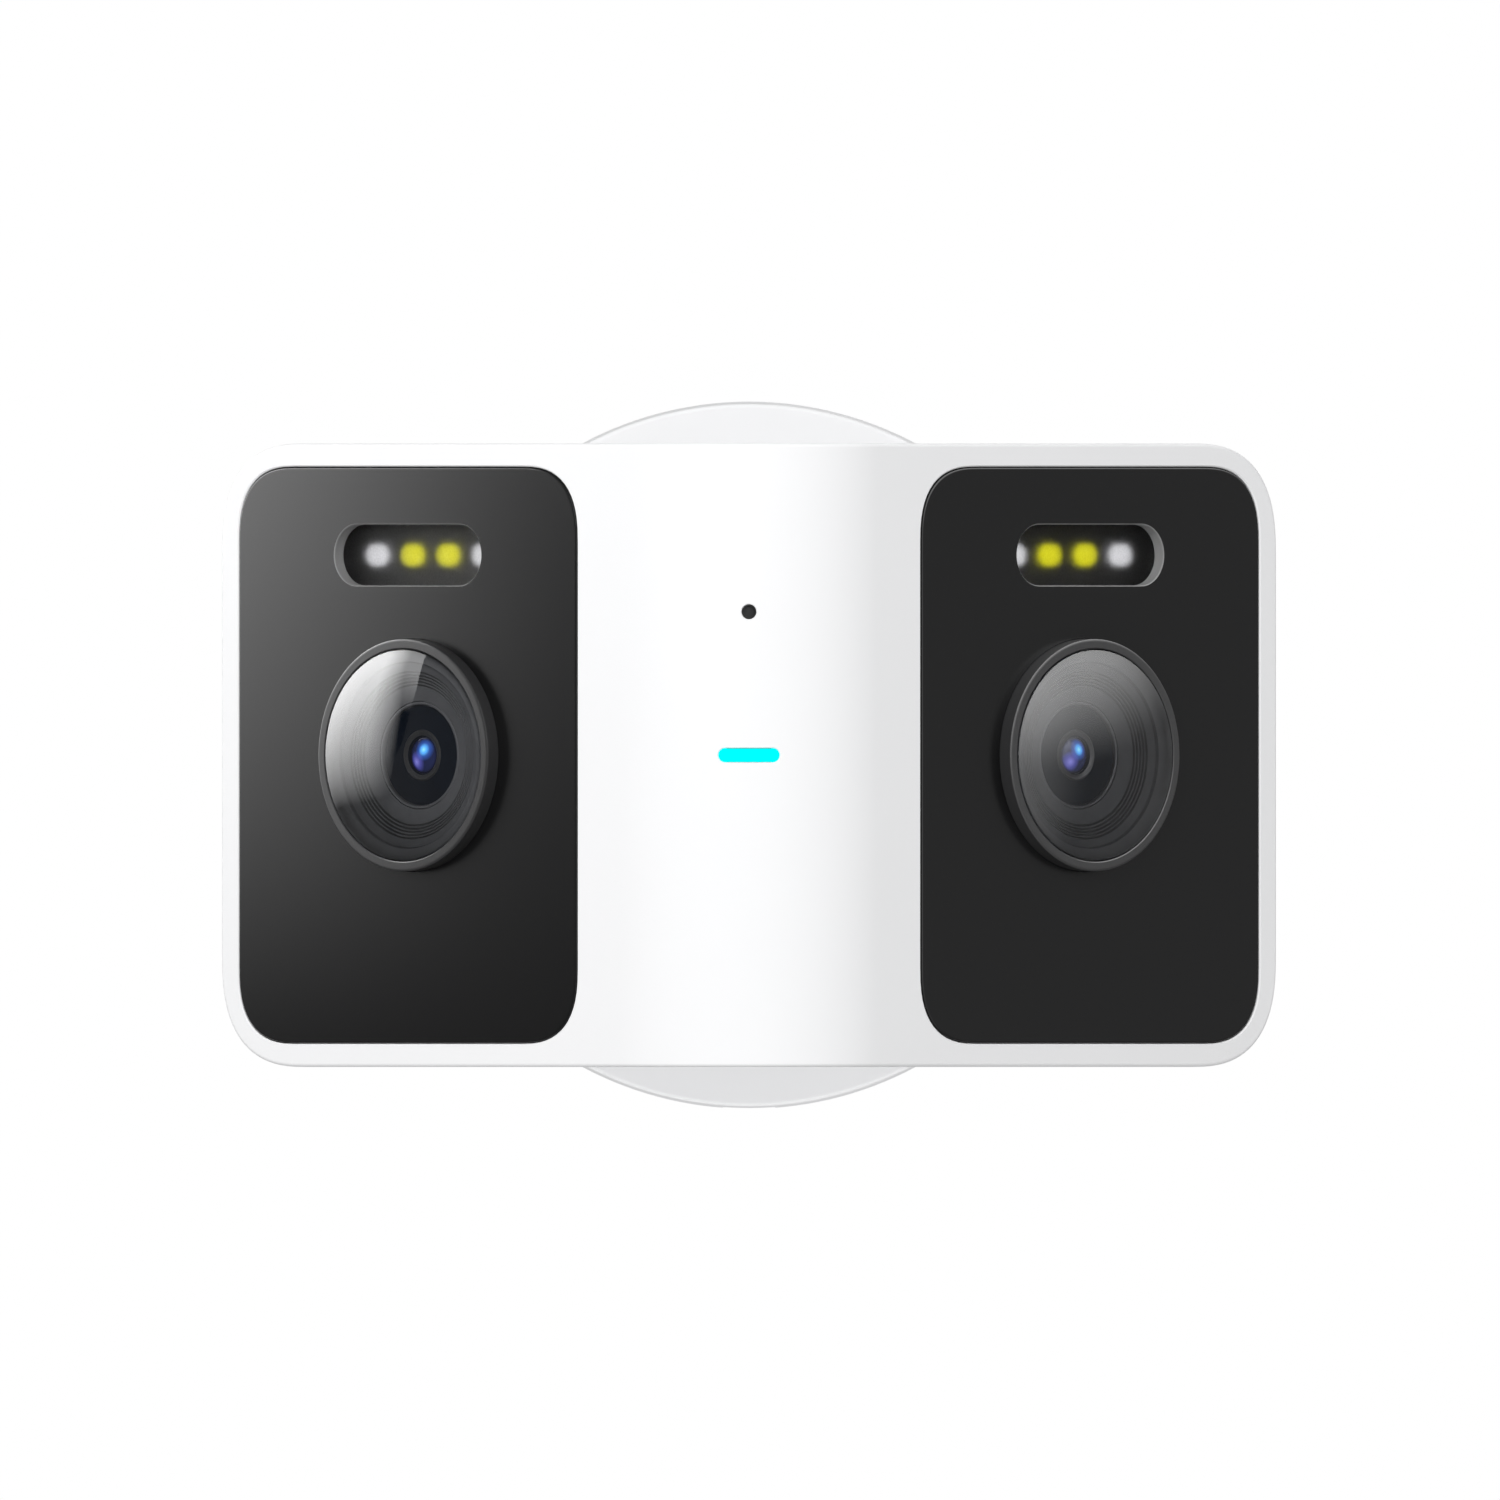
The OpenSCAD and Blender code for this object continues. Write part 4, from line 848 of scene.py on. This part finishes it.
def ring_profile():
    foot_r = RING_R + RING_FOOT_W
    return [
        (GLASS_R, -RING_UP + 0.25), (GLASS_R + 0.06, -RING_UP + 0.1), (GLASS_R + 0.2, -RING_UP),
        *[(RING_R - side_in, -RING_UP + down) for side_in, down in RING_EDGE],
        (RING_R, PAN_BACK), (foot_r, PAN_BACK), (foot_r, PAN_BACK + RING_FOOT_T),
        (GLASS_R, PAN_BACK + RING_FOOT_T),
    ]


def dome_profile():
    apex = -RING_UP - DOME_UP
    outside = cap_profile(DOME_R, DOME_UP, apex, DOME_STEPS)
    inside = cap_profile(DOME_INNER_R, DOME_UP * 0.9, apex + DOME_T, DOME_STEPS)
    return outside + [(DOME_R, GLASS_BACK)] + [(r, min(t, GLASS_BACK)) for r, t in reversed(inside)]


def baffle_profile():
    outer_r, inner_r = GLASS_R - BAFFLE_GAP, BARREL_R + BARREL_GAP
    grooves = []
    for i in range(GROOVE_COUNT):
        grooves += groove(GROOVE_R - i * GROOVE_PITCH)
    return [
        (outer_r, GLASS_BACK), (BAFFLE_RIM_R, GLASS_BACK),
        (BAFFLE_RIM_R - BAFFLE_CHAMFER_R, GLASS_BACK + BAFFLE_CHAMFER_T), (CONE_R, CONE_T),
        *grooves,
        (inner_r, BARREL_FRONT), (inner_r, BAFFLE_BACK), (outer_r, BAFFLE_BACK),
    ]


def element_profile():
    outer_r = ELEMENT_R - ELEMENT_GAP
    front = cap_profile(ELEMENT_R - ELEMENT_EDGE, ELEMENT_RISE, BARREL_FRONT + 0.35, ELEMENT_STEPS)
    return front + [(outer_r, BARREL_FRONT + 1.15), (outer_r, BARREL_FRONT + 3), (0, BARREL_FRONT + 3)]


def barrel_profile():
    return [
        (ELEMENT_R, BARREL_FRONT + 0.9), (3.05, BARREL_FRONT + 0.75), (RETAINER_R0, BARREL_FRONT + 0.7),
        (3.5, BARREL_FRONT + 0.5), (3.9, BARREL_FRONT + 0.45), (RETAINER_R1, BARREL_FRONT + 0.68),
        (FACE_R, FACE_T), (FACE_R, BARREL_BACK), (BORE_R, BARREL_BACK), (BORE_R, SEAT_T), (ELEMENT_R, SEAT_T),
    ]


def rim_profile():
    return [
        (FACE_R, FACE_T), (FACE_R + 0.15, BARREL_FRONT + 0.1), (FACE_R + 0.3, BARREL_FRONT),
        (BARREL_R - 0.1, BARREL_FRONT), (BARREL_R, BARREL_FRONT + 0.12),
        (BARREL_R, BARREL_BACK), (FACE_R, BARREL_BACK),
    ]


def face_panel_piece(letter, side):
    """Black panel with the lens hole and the lamp's opening, whose walls and lip are painted paler grey as a
    painted highlight.
    """
    edge = rounded_front(PANEL_EDGE_R, 4)
    panel = build(f"panel_{letter}", [
        slab(PANEL_W, PANEL_H, PANEL_R, edge + [(0, PANEL_T)], side * PANEL_Q, 0, steps=20)
    ])
    through = PANEL_T + PAST
    lamp_cut = [(-LAMP_LIP, -PAST), (-LAMP_LIP, 0), (0, LAMP_LIP), (0, through)]
    cut(panel, [
        rod(side * LENS_Q, 0, RING_R + 0.08, -PAST, through, 128),
        bar(LAMP_W, LAMP_H, lamp_cut, side * PANEL_Q, LAMP_Z, 24),
    ])
    panel.data.materials.append(materials["black_panel"])
    panel.data.materials.append(materials["lamp_wall_painted_highlight"])
    # Faces of the lamp opening's walls and lip take the pale grey of the painted highlight
    near = 0.4
    for face in panel.data.polygons:
        in_height = abs(face.center.z - LAMP_Z) < LAMP_H / 2 + near
        in_width = abs(abs(face.center.x) - PANEL_Q) < LAMP_W / 2 + near
        face.material_index = int(in_height and in_width and abs(face.normal.y) < 0.9)
    place(panel)
    wear(panel, "black_panel", "camera", f"face_panel_{letter}", has_materials=True)


def mark_places_on_glass(piece, side):
    """Stores where each point of a front element lies on the glass, 1 at its rim, which places the painted glint.
    """
    places = piece.data.attributes.new(ON_GLASS, "FLOAT_VECTOR", "POINT")
    for vertex, item in zip(piece.data.vertices, places.data):
        item.vector = ((vertex.co.x - side * LENS_Q) / ELEMENT_R, vertex.co.z / ELEMENT_R, 0)


def coat_inside(piece):
    """Gives the inner face of a dome the coat that mirrors less."""
    piece.data.materials.append(materials["coated_back"])
    for face in piece.data.polygons:
        face.material_index = int(face.normal.y > 0.1)


def lens_piece(letter, side, name, profile, slot, node):
    piece = build(f"lens_{name}_{letter}", [lathe(profile, side * LENS_Q, 0)])
    piece.data.materials.append(materials[slot])
    if name == "element":
        mark_places_on_glass(piece, side)
    if name == "dome":
        coat_inside(piece)
    place(piece)
    wear(piece, slot, "camera", f"{node}_{letter}", has_materials=True)


def lens_barrel_piece(letter, side):
    face_mesh = build(f"lens_barrel_{letter}", [lathe(barrel_profile(), side * LENS_Q, 0)])
    face_mesh.data.materials.append(materials["barrel_black"])
    face_mesh.data.materials.append(materials["retainer_grey"])
    for face in face_mesh.data.polygons:
        r = math.hypot(face.center.x - side * LENS_Q, face.center.z)
        face.material_index = int(RETAINER_R0 < r < RETAINER_R1 and face.center.y < BARREL_FRONT + 1)
    place(face_mesh)
    rim = build(f"barrel_rim_{letter}", [lathe(rim_profile(), side * LENS_Q, 0)])
    place(rim)
    rim.data.materials.append(materials["rim_grey"])
    whole = joined(f"lens_barrel_{letter}", [face_mesh, rim])
    wear(whole, "barrel_black", "camera", f"lens_barrel_{letter}", has_materials=True)


def led_window_piece(letter, side):
    front = PANEL_T + 0.02
    window = build(f"led_window_{letter}", [
        bar(WINDOW_W, WINDOW_H, [(0, front), (0, PANEL_T + WINDOW_T)], side * PANEL_Q, LAMP_Z)
    ])
    place(window)
    wear(window, "smoked_window", "camera", f"led_window_{letter}")


for letter, side in (("l", -1), ("r", 1)):
    face_panel_piece(letter, side)
    lens_piece(letter, side, "ring", ring_profile(), "ring_black", "lens_ring")
    lens_piece(letter, side, "dome", dome_profile(), "dome_glass", "lens_dome")
    lens_piece(letter, side, "baffle", baffle_profile(), "baffle_black", "lens_baffle")
    lens_piece(letter, side, "element", element_profile(), "coated_glass", "front_element")
    lens_barrel_piece(letter, side)
    led_window_piece(letter, side)


# An LED as (inset, depth behind its top): its pillow-shaped lens, and its body below
LED_LENS = ((1.5, 0), (1.0, 0.02), (0.5, 0.1), (0.15, 0.24), (0.05, 0.4), (0.05, 0.55))
LED_BODY = ((0.15, 0.45), (0, 0.6), (0, LED_T))
LED_CORNER_R = 0.5


def led_layer(outline, r, steps, q):
    """Part of an LED, from its list of insets and depths."""
    profile = [(inset, LED_DEPTH + depth) for inset, depth in outline]
    return slab(LED_W, LED_H, r, profile, q, LAMP_Z, 2, steps)


def lamps(name, slot, places):
    """The LEDs of one kind in both windows, at places counted in pitches from the window's middle."""
    spots = [side * (PANEL_Q + step * LED_PITCH) for side in (-1, 1) for step in places]
    lenses = build(name, [led_layer(LED_LENS, LED_H / 2, 8, q) for q in spots])
    place(lenses)
    lenses.data.materials.append(materials[slot])
    bodies = build(f"{name}_bodies", [led_layer(LED_BODY, LED_CORNER_R, 4, q) for q in spots])
    place(bodies)
    bodies.data.materials.append(materials["led_body"])
    whole = wear(joined(name, [lenses, bodies]), slot, "camera", name, has_materials=True)
    whole.visible_diffuse = False


lamps("white_leds", "white_led", (-0.5, 0.5))
lamps("infrared_leds", "infrared_led", (-1.5, 1.5))


# ---------------------------------------------------------------- nose parts

# Status bar: its front edge as (inset, depth), how far it reaches behind the shell, and its bending strips
PIPE_EDGE, PIPE_PAST, PIPE_BEND_LINES = ((0.12, 0.02), (0.04, 0.06), (0, 0.15)), 0.2, 97

# Microphone: rubber boot with a screen in its bore
BOOT_FRONT, BOOT_LIP, BOOT_GAP = 0.12, 0.06, 0.05
CAN_R, CAN_FRONT, CAN_BACK, CHAMBER_T = 3.0, WALL + 0.5, 7.0, 5.5
SCREEN_FRONT, SCREEN_T = 0.5, 0.12

light_pipe = build("light_pipe", [bar(BAR_W, BAR_H, [*PIPE_EDGE, (0, WALL + PIPE_PAST)])])
place(light_pipe, PIPE_BEND_LINES)
wear(light_pipe, "status_light", "camera", "light_pipe")

boot_outer_r = MIC_R - BOOT_GAP
boot = build("microphone", [lathe(
    [
        (0, CHAMBER_T), (BOOT_R, CHAMBER_T), (BOOT_R, BOOT_FRONT + 0.1), (BOOT_R + BOOT_LIP, BOOT_FRONT),
        (MIC_R - 0.12, BOOT_FRONT), (boot_outer_r, 0.2), (boot_outer_r, CAN_FRONT),
        (CAN_R, CAN_FRONT), (CAN_R, CAN_BACK), (0, CAN_BACK),
    ],
    0, MIC_Z, 64,
)])
place(boot)
boot.data.materials.append(materials["boot_rubber"])
screen = build("mic_screen", [rod(0, MIC_Z, BOOT_R + 0.02, SCREEN_FRONT, SCREEN_FRONT + SCREEN_T, 64)])
place(screen)
screen.data.materials.append(materials["mic_mesh"])
wear(joined("microphone", [boot, screen]), "boot_rubber", "camera", "microphone", has_materials=True)


# ---------------------------------------------------------------- card door

def door_rod(r, past, steps):
    """Rod along the door's hinge that runs past both of its ends."""
    q0, q1 = DOOR_Q0 - past, DOOR_Q1 + past
    return lathe([(0, q0), (r, q0), (r, q1), (0, q1)], HINGE_T, HINGE_R - HEAD_HALF, steps, "q")


flap = box((DOOR_Q0, DOOR_T0 + FIT, -HEAD_HALF), (DOOR_Q1, HINGE_T, DOOR_T - HEAD_HALF), 0.25)
door = build("card_door", [flap, door_rod(HINGE_R, 0, 40), door_rod(PIN_R, 1.2, 24)])
place(door)
wear(door, "door_plastic", "card_door", "card_door")


# ---------------------------------------------------------------- base

# Cover as (radius, height above the wall): its wall, its rounded rim and the raised collar round the arm
COVER_WALL, COVER_FRONT_T, COVER_DRAFT, COVER_EDGE_R, COVER_FOOT = 2.5, 3.0, 0.35, 0.7, 0.3
COLLAR_R, COLLAR_INNER_R, COLLAR_UP, ARM_HOLE_R = 24.0, 20.0, 2.0, 15.5

# Cable notch in the rim at the bottom, and the two screw wells at the sides
NOTCH_W, NOTCH_UP, NOTCH_REACH, NOTCH_R = 8.4, 7.0, 8.0, 1.5
WELL_R, WELL_DEPTH, WELL_Y = 3.0, 1.2, -8.0


def turned(profile, steps=192):
    """Closed profile of (radius, height above the wall) turned about the base's axis."""
    return lathe([(radius, -height) for radius, height in profile], 0, 0, steps)


def cover_profile():
    rim = [
        (BASE_R - COVER_DRAFT - COVER_EDGE_R * (1 - math.cos(a)), BASE_T - COVER_EDGE_R * (1 - math.sin(a)))
        for a in quarter_turn(6)
    ]
    return [
        (BASE_R - COVER_WALL, 0), (BASE_R - COVER_FOOT, 0), (BASE_R, COVER_FOOT), *rim,
        (COLLAR_R + 0.5, BASE_T), (COLLAR_R + 0.35, BASE_T + 0.2), (COLLAR_R, BASE_T + COLLAR_UP),
        (COLLAR_R - 0.3, BASE_T + COLLAR_UP + 0.1), (COLLAR_INNER_R, BASE_T + COLLAR_UP),
        (COLLAR_INNER_R, BASE_T), (ARM_HOLE_R, BASE_T),
        (ARM_HOLE_R, BASE_T - COVER_FRONT_T), (BASE_R - COVER_WALL, BASE_T - COVER_FRONT_T),
    ]


def notch():
    """Upright block that opens the cover's rim at its bottom, from the wall to NOTCH_UP above it."""
    below, above = -BASE_R - 3 * PAST, -BASE_R + NOTCH_REACH
    points, faces = slab(NOTCH_W, 2 * NOTCH_REACH, NOTCH_R, [(0, below), (0, above)], 0, 0, 2, 8)
    return [(q, z + NOTCH_REACH - NOTCH_UP, t) for q, t, z in points], faces


def screw_well(side):
    """Sunk seat of a cover screw in the side of the cover."""
    floor_q, mouth_q = side * (BASE_R - WELL_DEPTH), side * (BASE_R + PAST)
    profile = [(0, floor_q), (WELL_R, floor_q), (WELL_R + 0.1, mouth_q), (0, mouth_q)]
    return lathe(profile, WELL_Y, 0, 40, "q")


cover = build("base_cover", [turned(cover_profile())])
cut(cover, [notch(), screw_well(-1), screw_well(1)])
place_straight(cover)
wear(cover, "white_shell", "base", "base_cover")


# ---------------------------------------------------------------- finishes of the CAD nodes

slot_of = {part["node"]: part["material_slot"] for part in frame["record"]["subparts"]}
for node, obj in frame["nodes"].items():
    if not obj.hide_render:
        obj.data.materials.clear()
        obj.data.materials.append(materials[slot_of[node]])


# ---------------------------------------------------------------- stage, light and camera

def stage_plane(name, corners, material):
    mesh = bpy.data.meshes.new(name)
    mesh.from_pydata(corners, [], [tuple(range(len(corners)))])
    obj = bpy.data.objects.new(name, mesh)
    obj.data.materials.append(material)
    scene.collection.objects.link(obj)
    return obj


# Light card on the left, in metres: its place, its front edge as (y, z), the heights between which it
# brightens, the places between which it fades towards its front, and the share that its top front keeps
CARD_X, CARD_BACK, CARD_HALF_H = -0.24, 0.15, 0.2
CARD_FRONT = (
    (-0.08, -CARD_HALF_H), (-0.086, -0.05), (-0.1006, -0.0262), (-0.1168, 0.0), (-0.1275, 0.02),
    (-0.1313, 0.0433), (-0.1324, 0.0814), (-0.1238, 0.1249), (-0.11, CARD_HALF_H),
)
CARD_FOOT, CARD_BRIGHT = -0.045, 0.1
CARD_FRONT_Y, CARD_BACK_Y = -0.117, -0.055
CARD_POWER, CARD_DIM = 8.8, 0.15
CARD_FRONT_SHARE, CARD_SHARE_Z = 0.33, 0.05

# The floor lies below the lowest corner of the level head at any swivel: the gap in millimetres, and half
# the floor's width in metres
FLOOR_GAP, FLOOR_HALF = 2.0, 2.0
floor_z = -(math.hypot(high("front_shell").x, HEAD_HALF) + FLOOR_GAP) * MM
floor = stage_plane(
    "floor",
    [(x * FLOOR_HALF, y * FLOOR_HALF, floor_z) for x, y in ((-1, -1), (1, -1), (1, 1), (-1, 1))],
    moulded("floor", (0.86, 0.86, 0.86), 0.8, tone=0.01).material,
)
floor.visible_diffuse = False
floor.visible_shadow = False
floor.visible_glossy = False

# Soft light card on the left, which the left panel and dome mirror: its front edge slants and it fades down
card_finish = Finish("light_card")
axes = card_finish.add("ShaderNodeSeparateXYZ")
card_finish.link(card_finish.coords, axes.inputs["Vector"])
card_finish.tree.nodes.remove(card_finish.shader)
glow = card_finish.add("ShaderNodeEmission")
rising = card_finish.span(axes.outputs["Z"], CARD_DIM, CARD_POWER, CARD_FOOT, CARD_BRIGHT)
backing = card_finish.span(axes.outputs["Y"], 0.0, 1.0, CARD_FRONT_Y, CARD_BACK_Y)
front_share = card_finish.span(axes.outputs["Z"], 0.0, CARD_FRONT_SHARE, CARD_SHARE_Z, CARD_BRIGHT)
backing = card_finish.math("MAXIMUM", backing, front_share)
card_finish.link(card_finish.math("MULTIPLY", rising, backing), glow.inputs["Strength"])
card_finish.link(glow.outputs["Emission"], card_finish.output.inputs["Surface"])
card = stage_plane(
    "light_card",
    [(CARD_X, y, z) for y, z in (*CARD_FRONT, (CARD_BACK, CARD_HALF_H), (CARD_BACK, -CARD_HALF_H))],
    card_finish.material,
)
card.visible_camera = False
card.visible_shadow = False
card.visible_diffuse = False

world = bpy.data.worlds.new("studio")
scene.world = world
world.use_nodes = True
nodes, links = world.node_tree.nodes, world.node_tree.links
background = nodes["Background"]
direction = nodes.new("ShaderNodeTexCoord")
split = nodes.new("ShaderNodeSeparateXYZ")
links.new(direction.outputs["Generated"], split.inputs["Vector"])


def sky(source, from_min, from_max, to_min, to_max):
    """Smooth step of one part of the world's direction."""
    node = nodes.new("ShaderNodeMapRange")
    node.interpolation_type = "SMOOTHSTEP"
    node.inputs["From Min"].default_value = from_min
    node.inputs["From Max"].default_value = from_max
    node.inputs["To Min"].default_value = to_min
    node.inputs["To Max"].default_value = to_max
    links.new(source, node.inputs["Value"])
    return node.outputs["Result"]


def combined(operation, a, b):
    node = nodes.new("ShaderNodeMath")
    node.operation = operation
    for socket, value in zip(node.inputs, (a, b)):
        if isinstance(value, float):
            socket.default_value = value
        else:
            links.new(value, socket)
    return node.outputs["Value"]


def chosen(factor, a, b):
    node = nodes.new("ShaderNodeMix")
    node.data_type = "FLOAT"
    links.new(factor, node.inputs["Factor"])
    for key, value in (("A", a), ("B", b)):
        if isinstance(value, float):
            node.inputs[key].default_value = value
        else:
            links.new(value, node.inputs[key])
    return node.outputs["Result"]


# What is mirrored: a dim room with a soft window in front, above and on the right
forward_and_up = combined(
    "ADD", combined("MULTIPLY", split.outputs["Y"], -0.3), combined("MULTIPLY", split.outputs["Z"], 1.35)
)
upper_glow = sky(forward_and_up, -0.05, 0.95, 0.0, 4.0)
front_glow = sky(split.outputs["Y"], -0.7, -0.2, 0.8, 0.0)
on_the_right = sky(split.outputs["X"], -0.2, 0.6, 0.0, 1.0)
window_glow = combined("MULTIPLY", on_the_right, combined("ADD", upper_glow, front_glow))
mirrored_room = combined("ADD", window_glow, sky(split.outputs["X"], -0.5, 0.5, 0.12, 0.2))
# What lights the matt surfaces
even_light = sky(split.outputs["Z"], -0.9, 0.9, 0.58, 0.5)
rays = nodes.new("ShaderNodeLightPath")
seen_by_rays = chosen(rays.outputs["Is Glossy Ray"], even_light, mirrored_room)
links.new(chosen(rays.outputs["Is Camera Ray"], seen_by_rays, 1.0), background.inputs["Strength"])
background.inputs["Color"].default_value = (1, 1, 1, 1)


def area_light(name, place_at, target, size, power):
    light = bpy.data.lights.new(name, "AREA")
    light.shape = "RECTANGLE"
    light.size, light.size_y = size
    light.energy = power
    obj = bpy.data.objects.new(name, light)
    obj.location = place_at
    obj.rotation_euler = (Vector(target) - Vector(place_at)).to_track_quat("-Z", "Y").to_euler()
    scene.collection.objects.link(obj)
    return obj


key = area_light("key", place_at=(-0.25, -1.1, 0.45), target=(0, -0.09, 0), size=(0.9, 0.7), power=9.2)
key.visible_glossy = False

# The head hides the lower part of the base from the room, so a low fill lights the base alone
fill = area_light(
    "base_fill", place_at=(0, -0.6, -0.47), target=(0, -0.022, -0.053), size=(0.3, 0.3), power=2.2,
)
fill.visible_glossy = False
base_only = bpy.data.collections.new("base_only")
base_only.objects.link(cover)
fill.light_linking.receiver_collection = base_only

# Level view square to the wall, in metres: the width that it shows, and its middle
VIEW_W, VIEW_X, VIEW_Z, VIEW_DISTANCE = 0.24057, 0.00016, 0.00083, 1.2
camera_data = bpy.data.cameras.new("camera")
camera_data.type = "ORTHO"
camera_data.ortho_scale = VIEW_W
camera = bpy.data.objects.new("camera", camera_data)
camera.location = (VIEW_X, -VIEW_DISTANCE, VIEW_Z)
camera.rotation_euler = (math.pi / 2, 0, 0)
scene.collection.objects.link(camera)
scene.camera = camera
scene.view_settings.view_transform = "Standard"
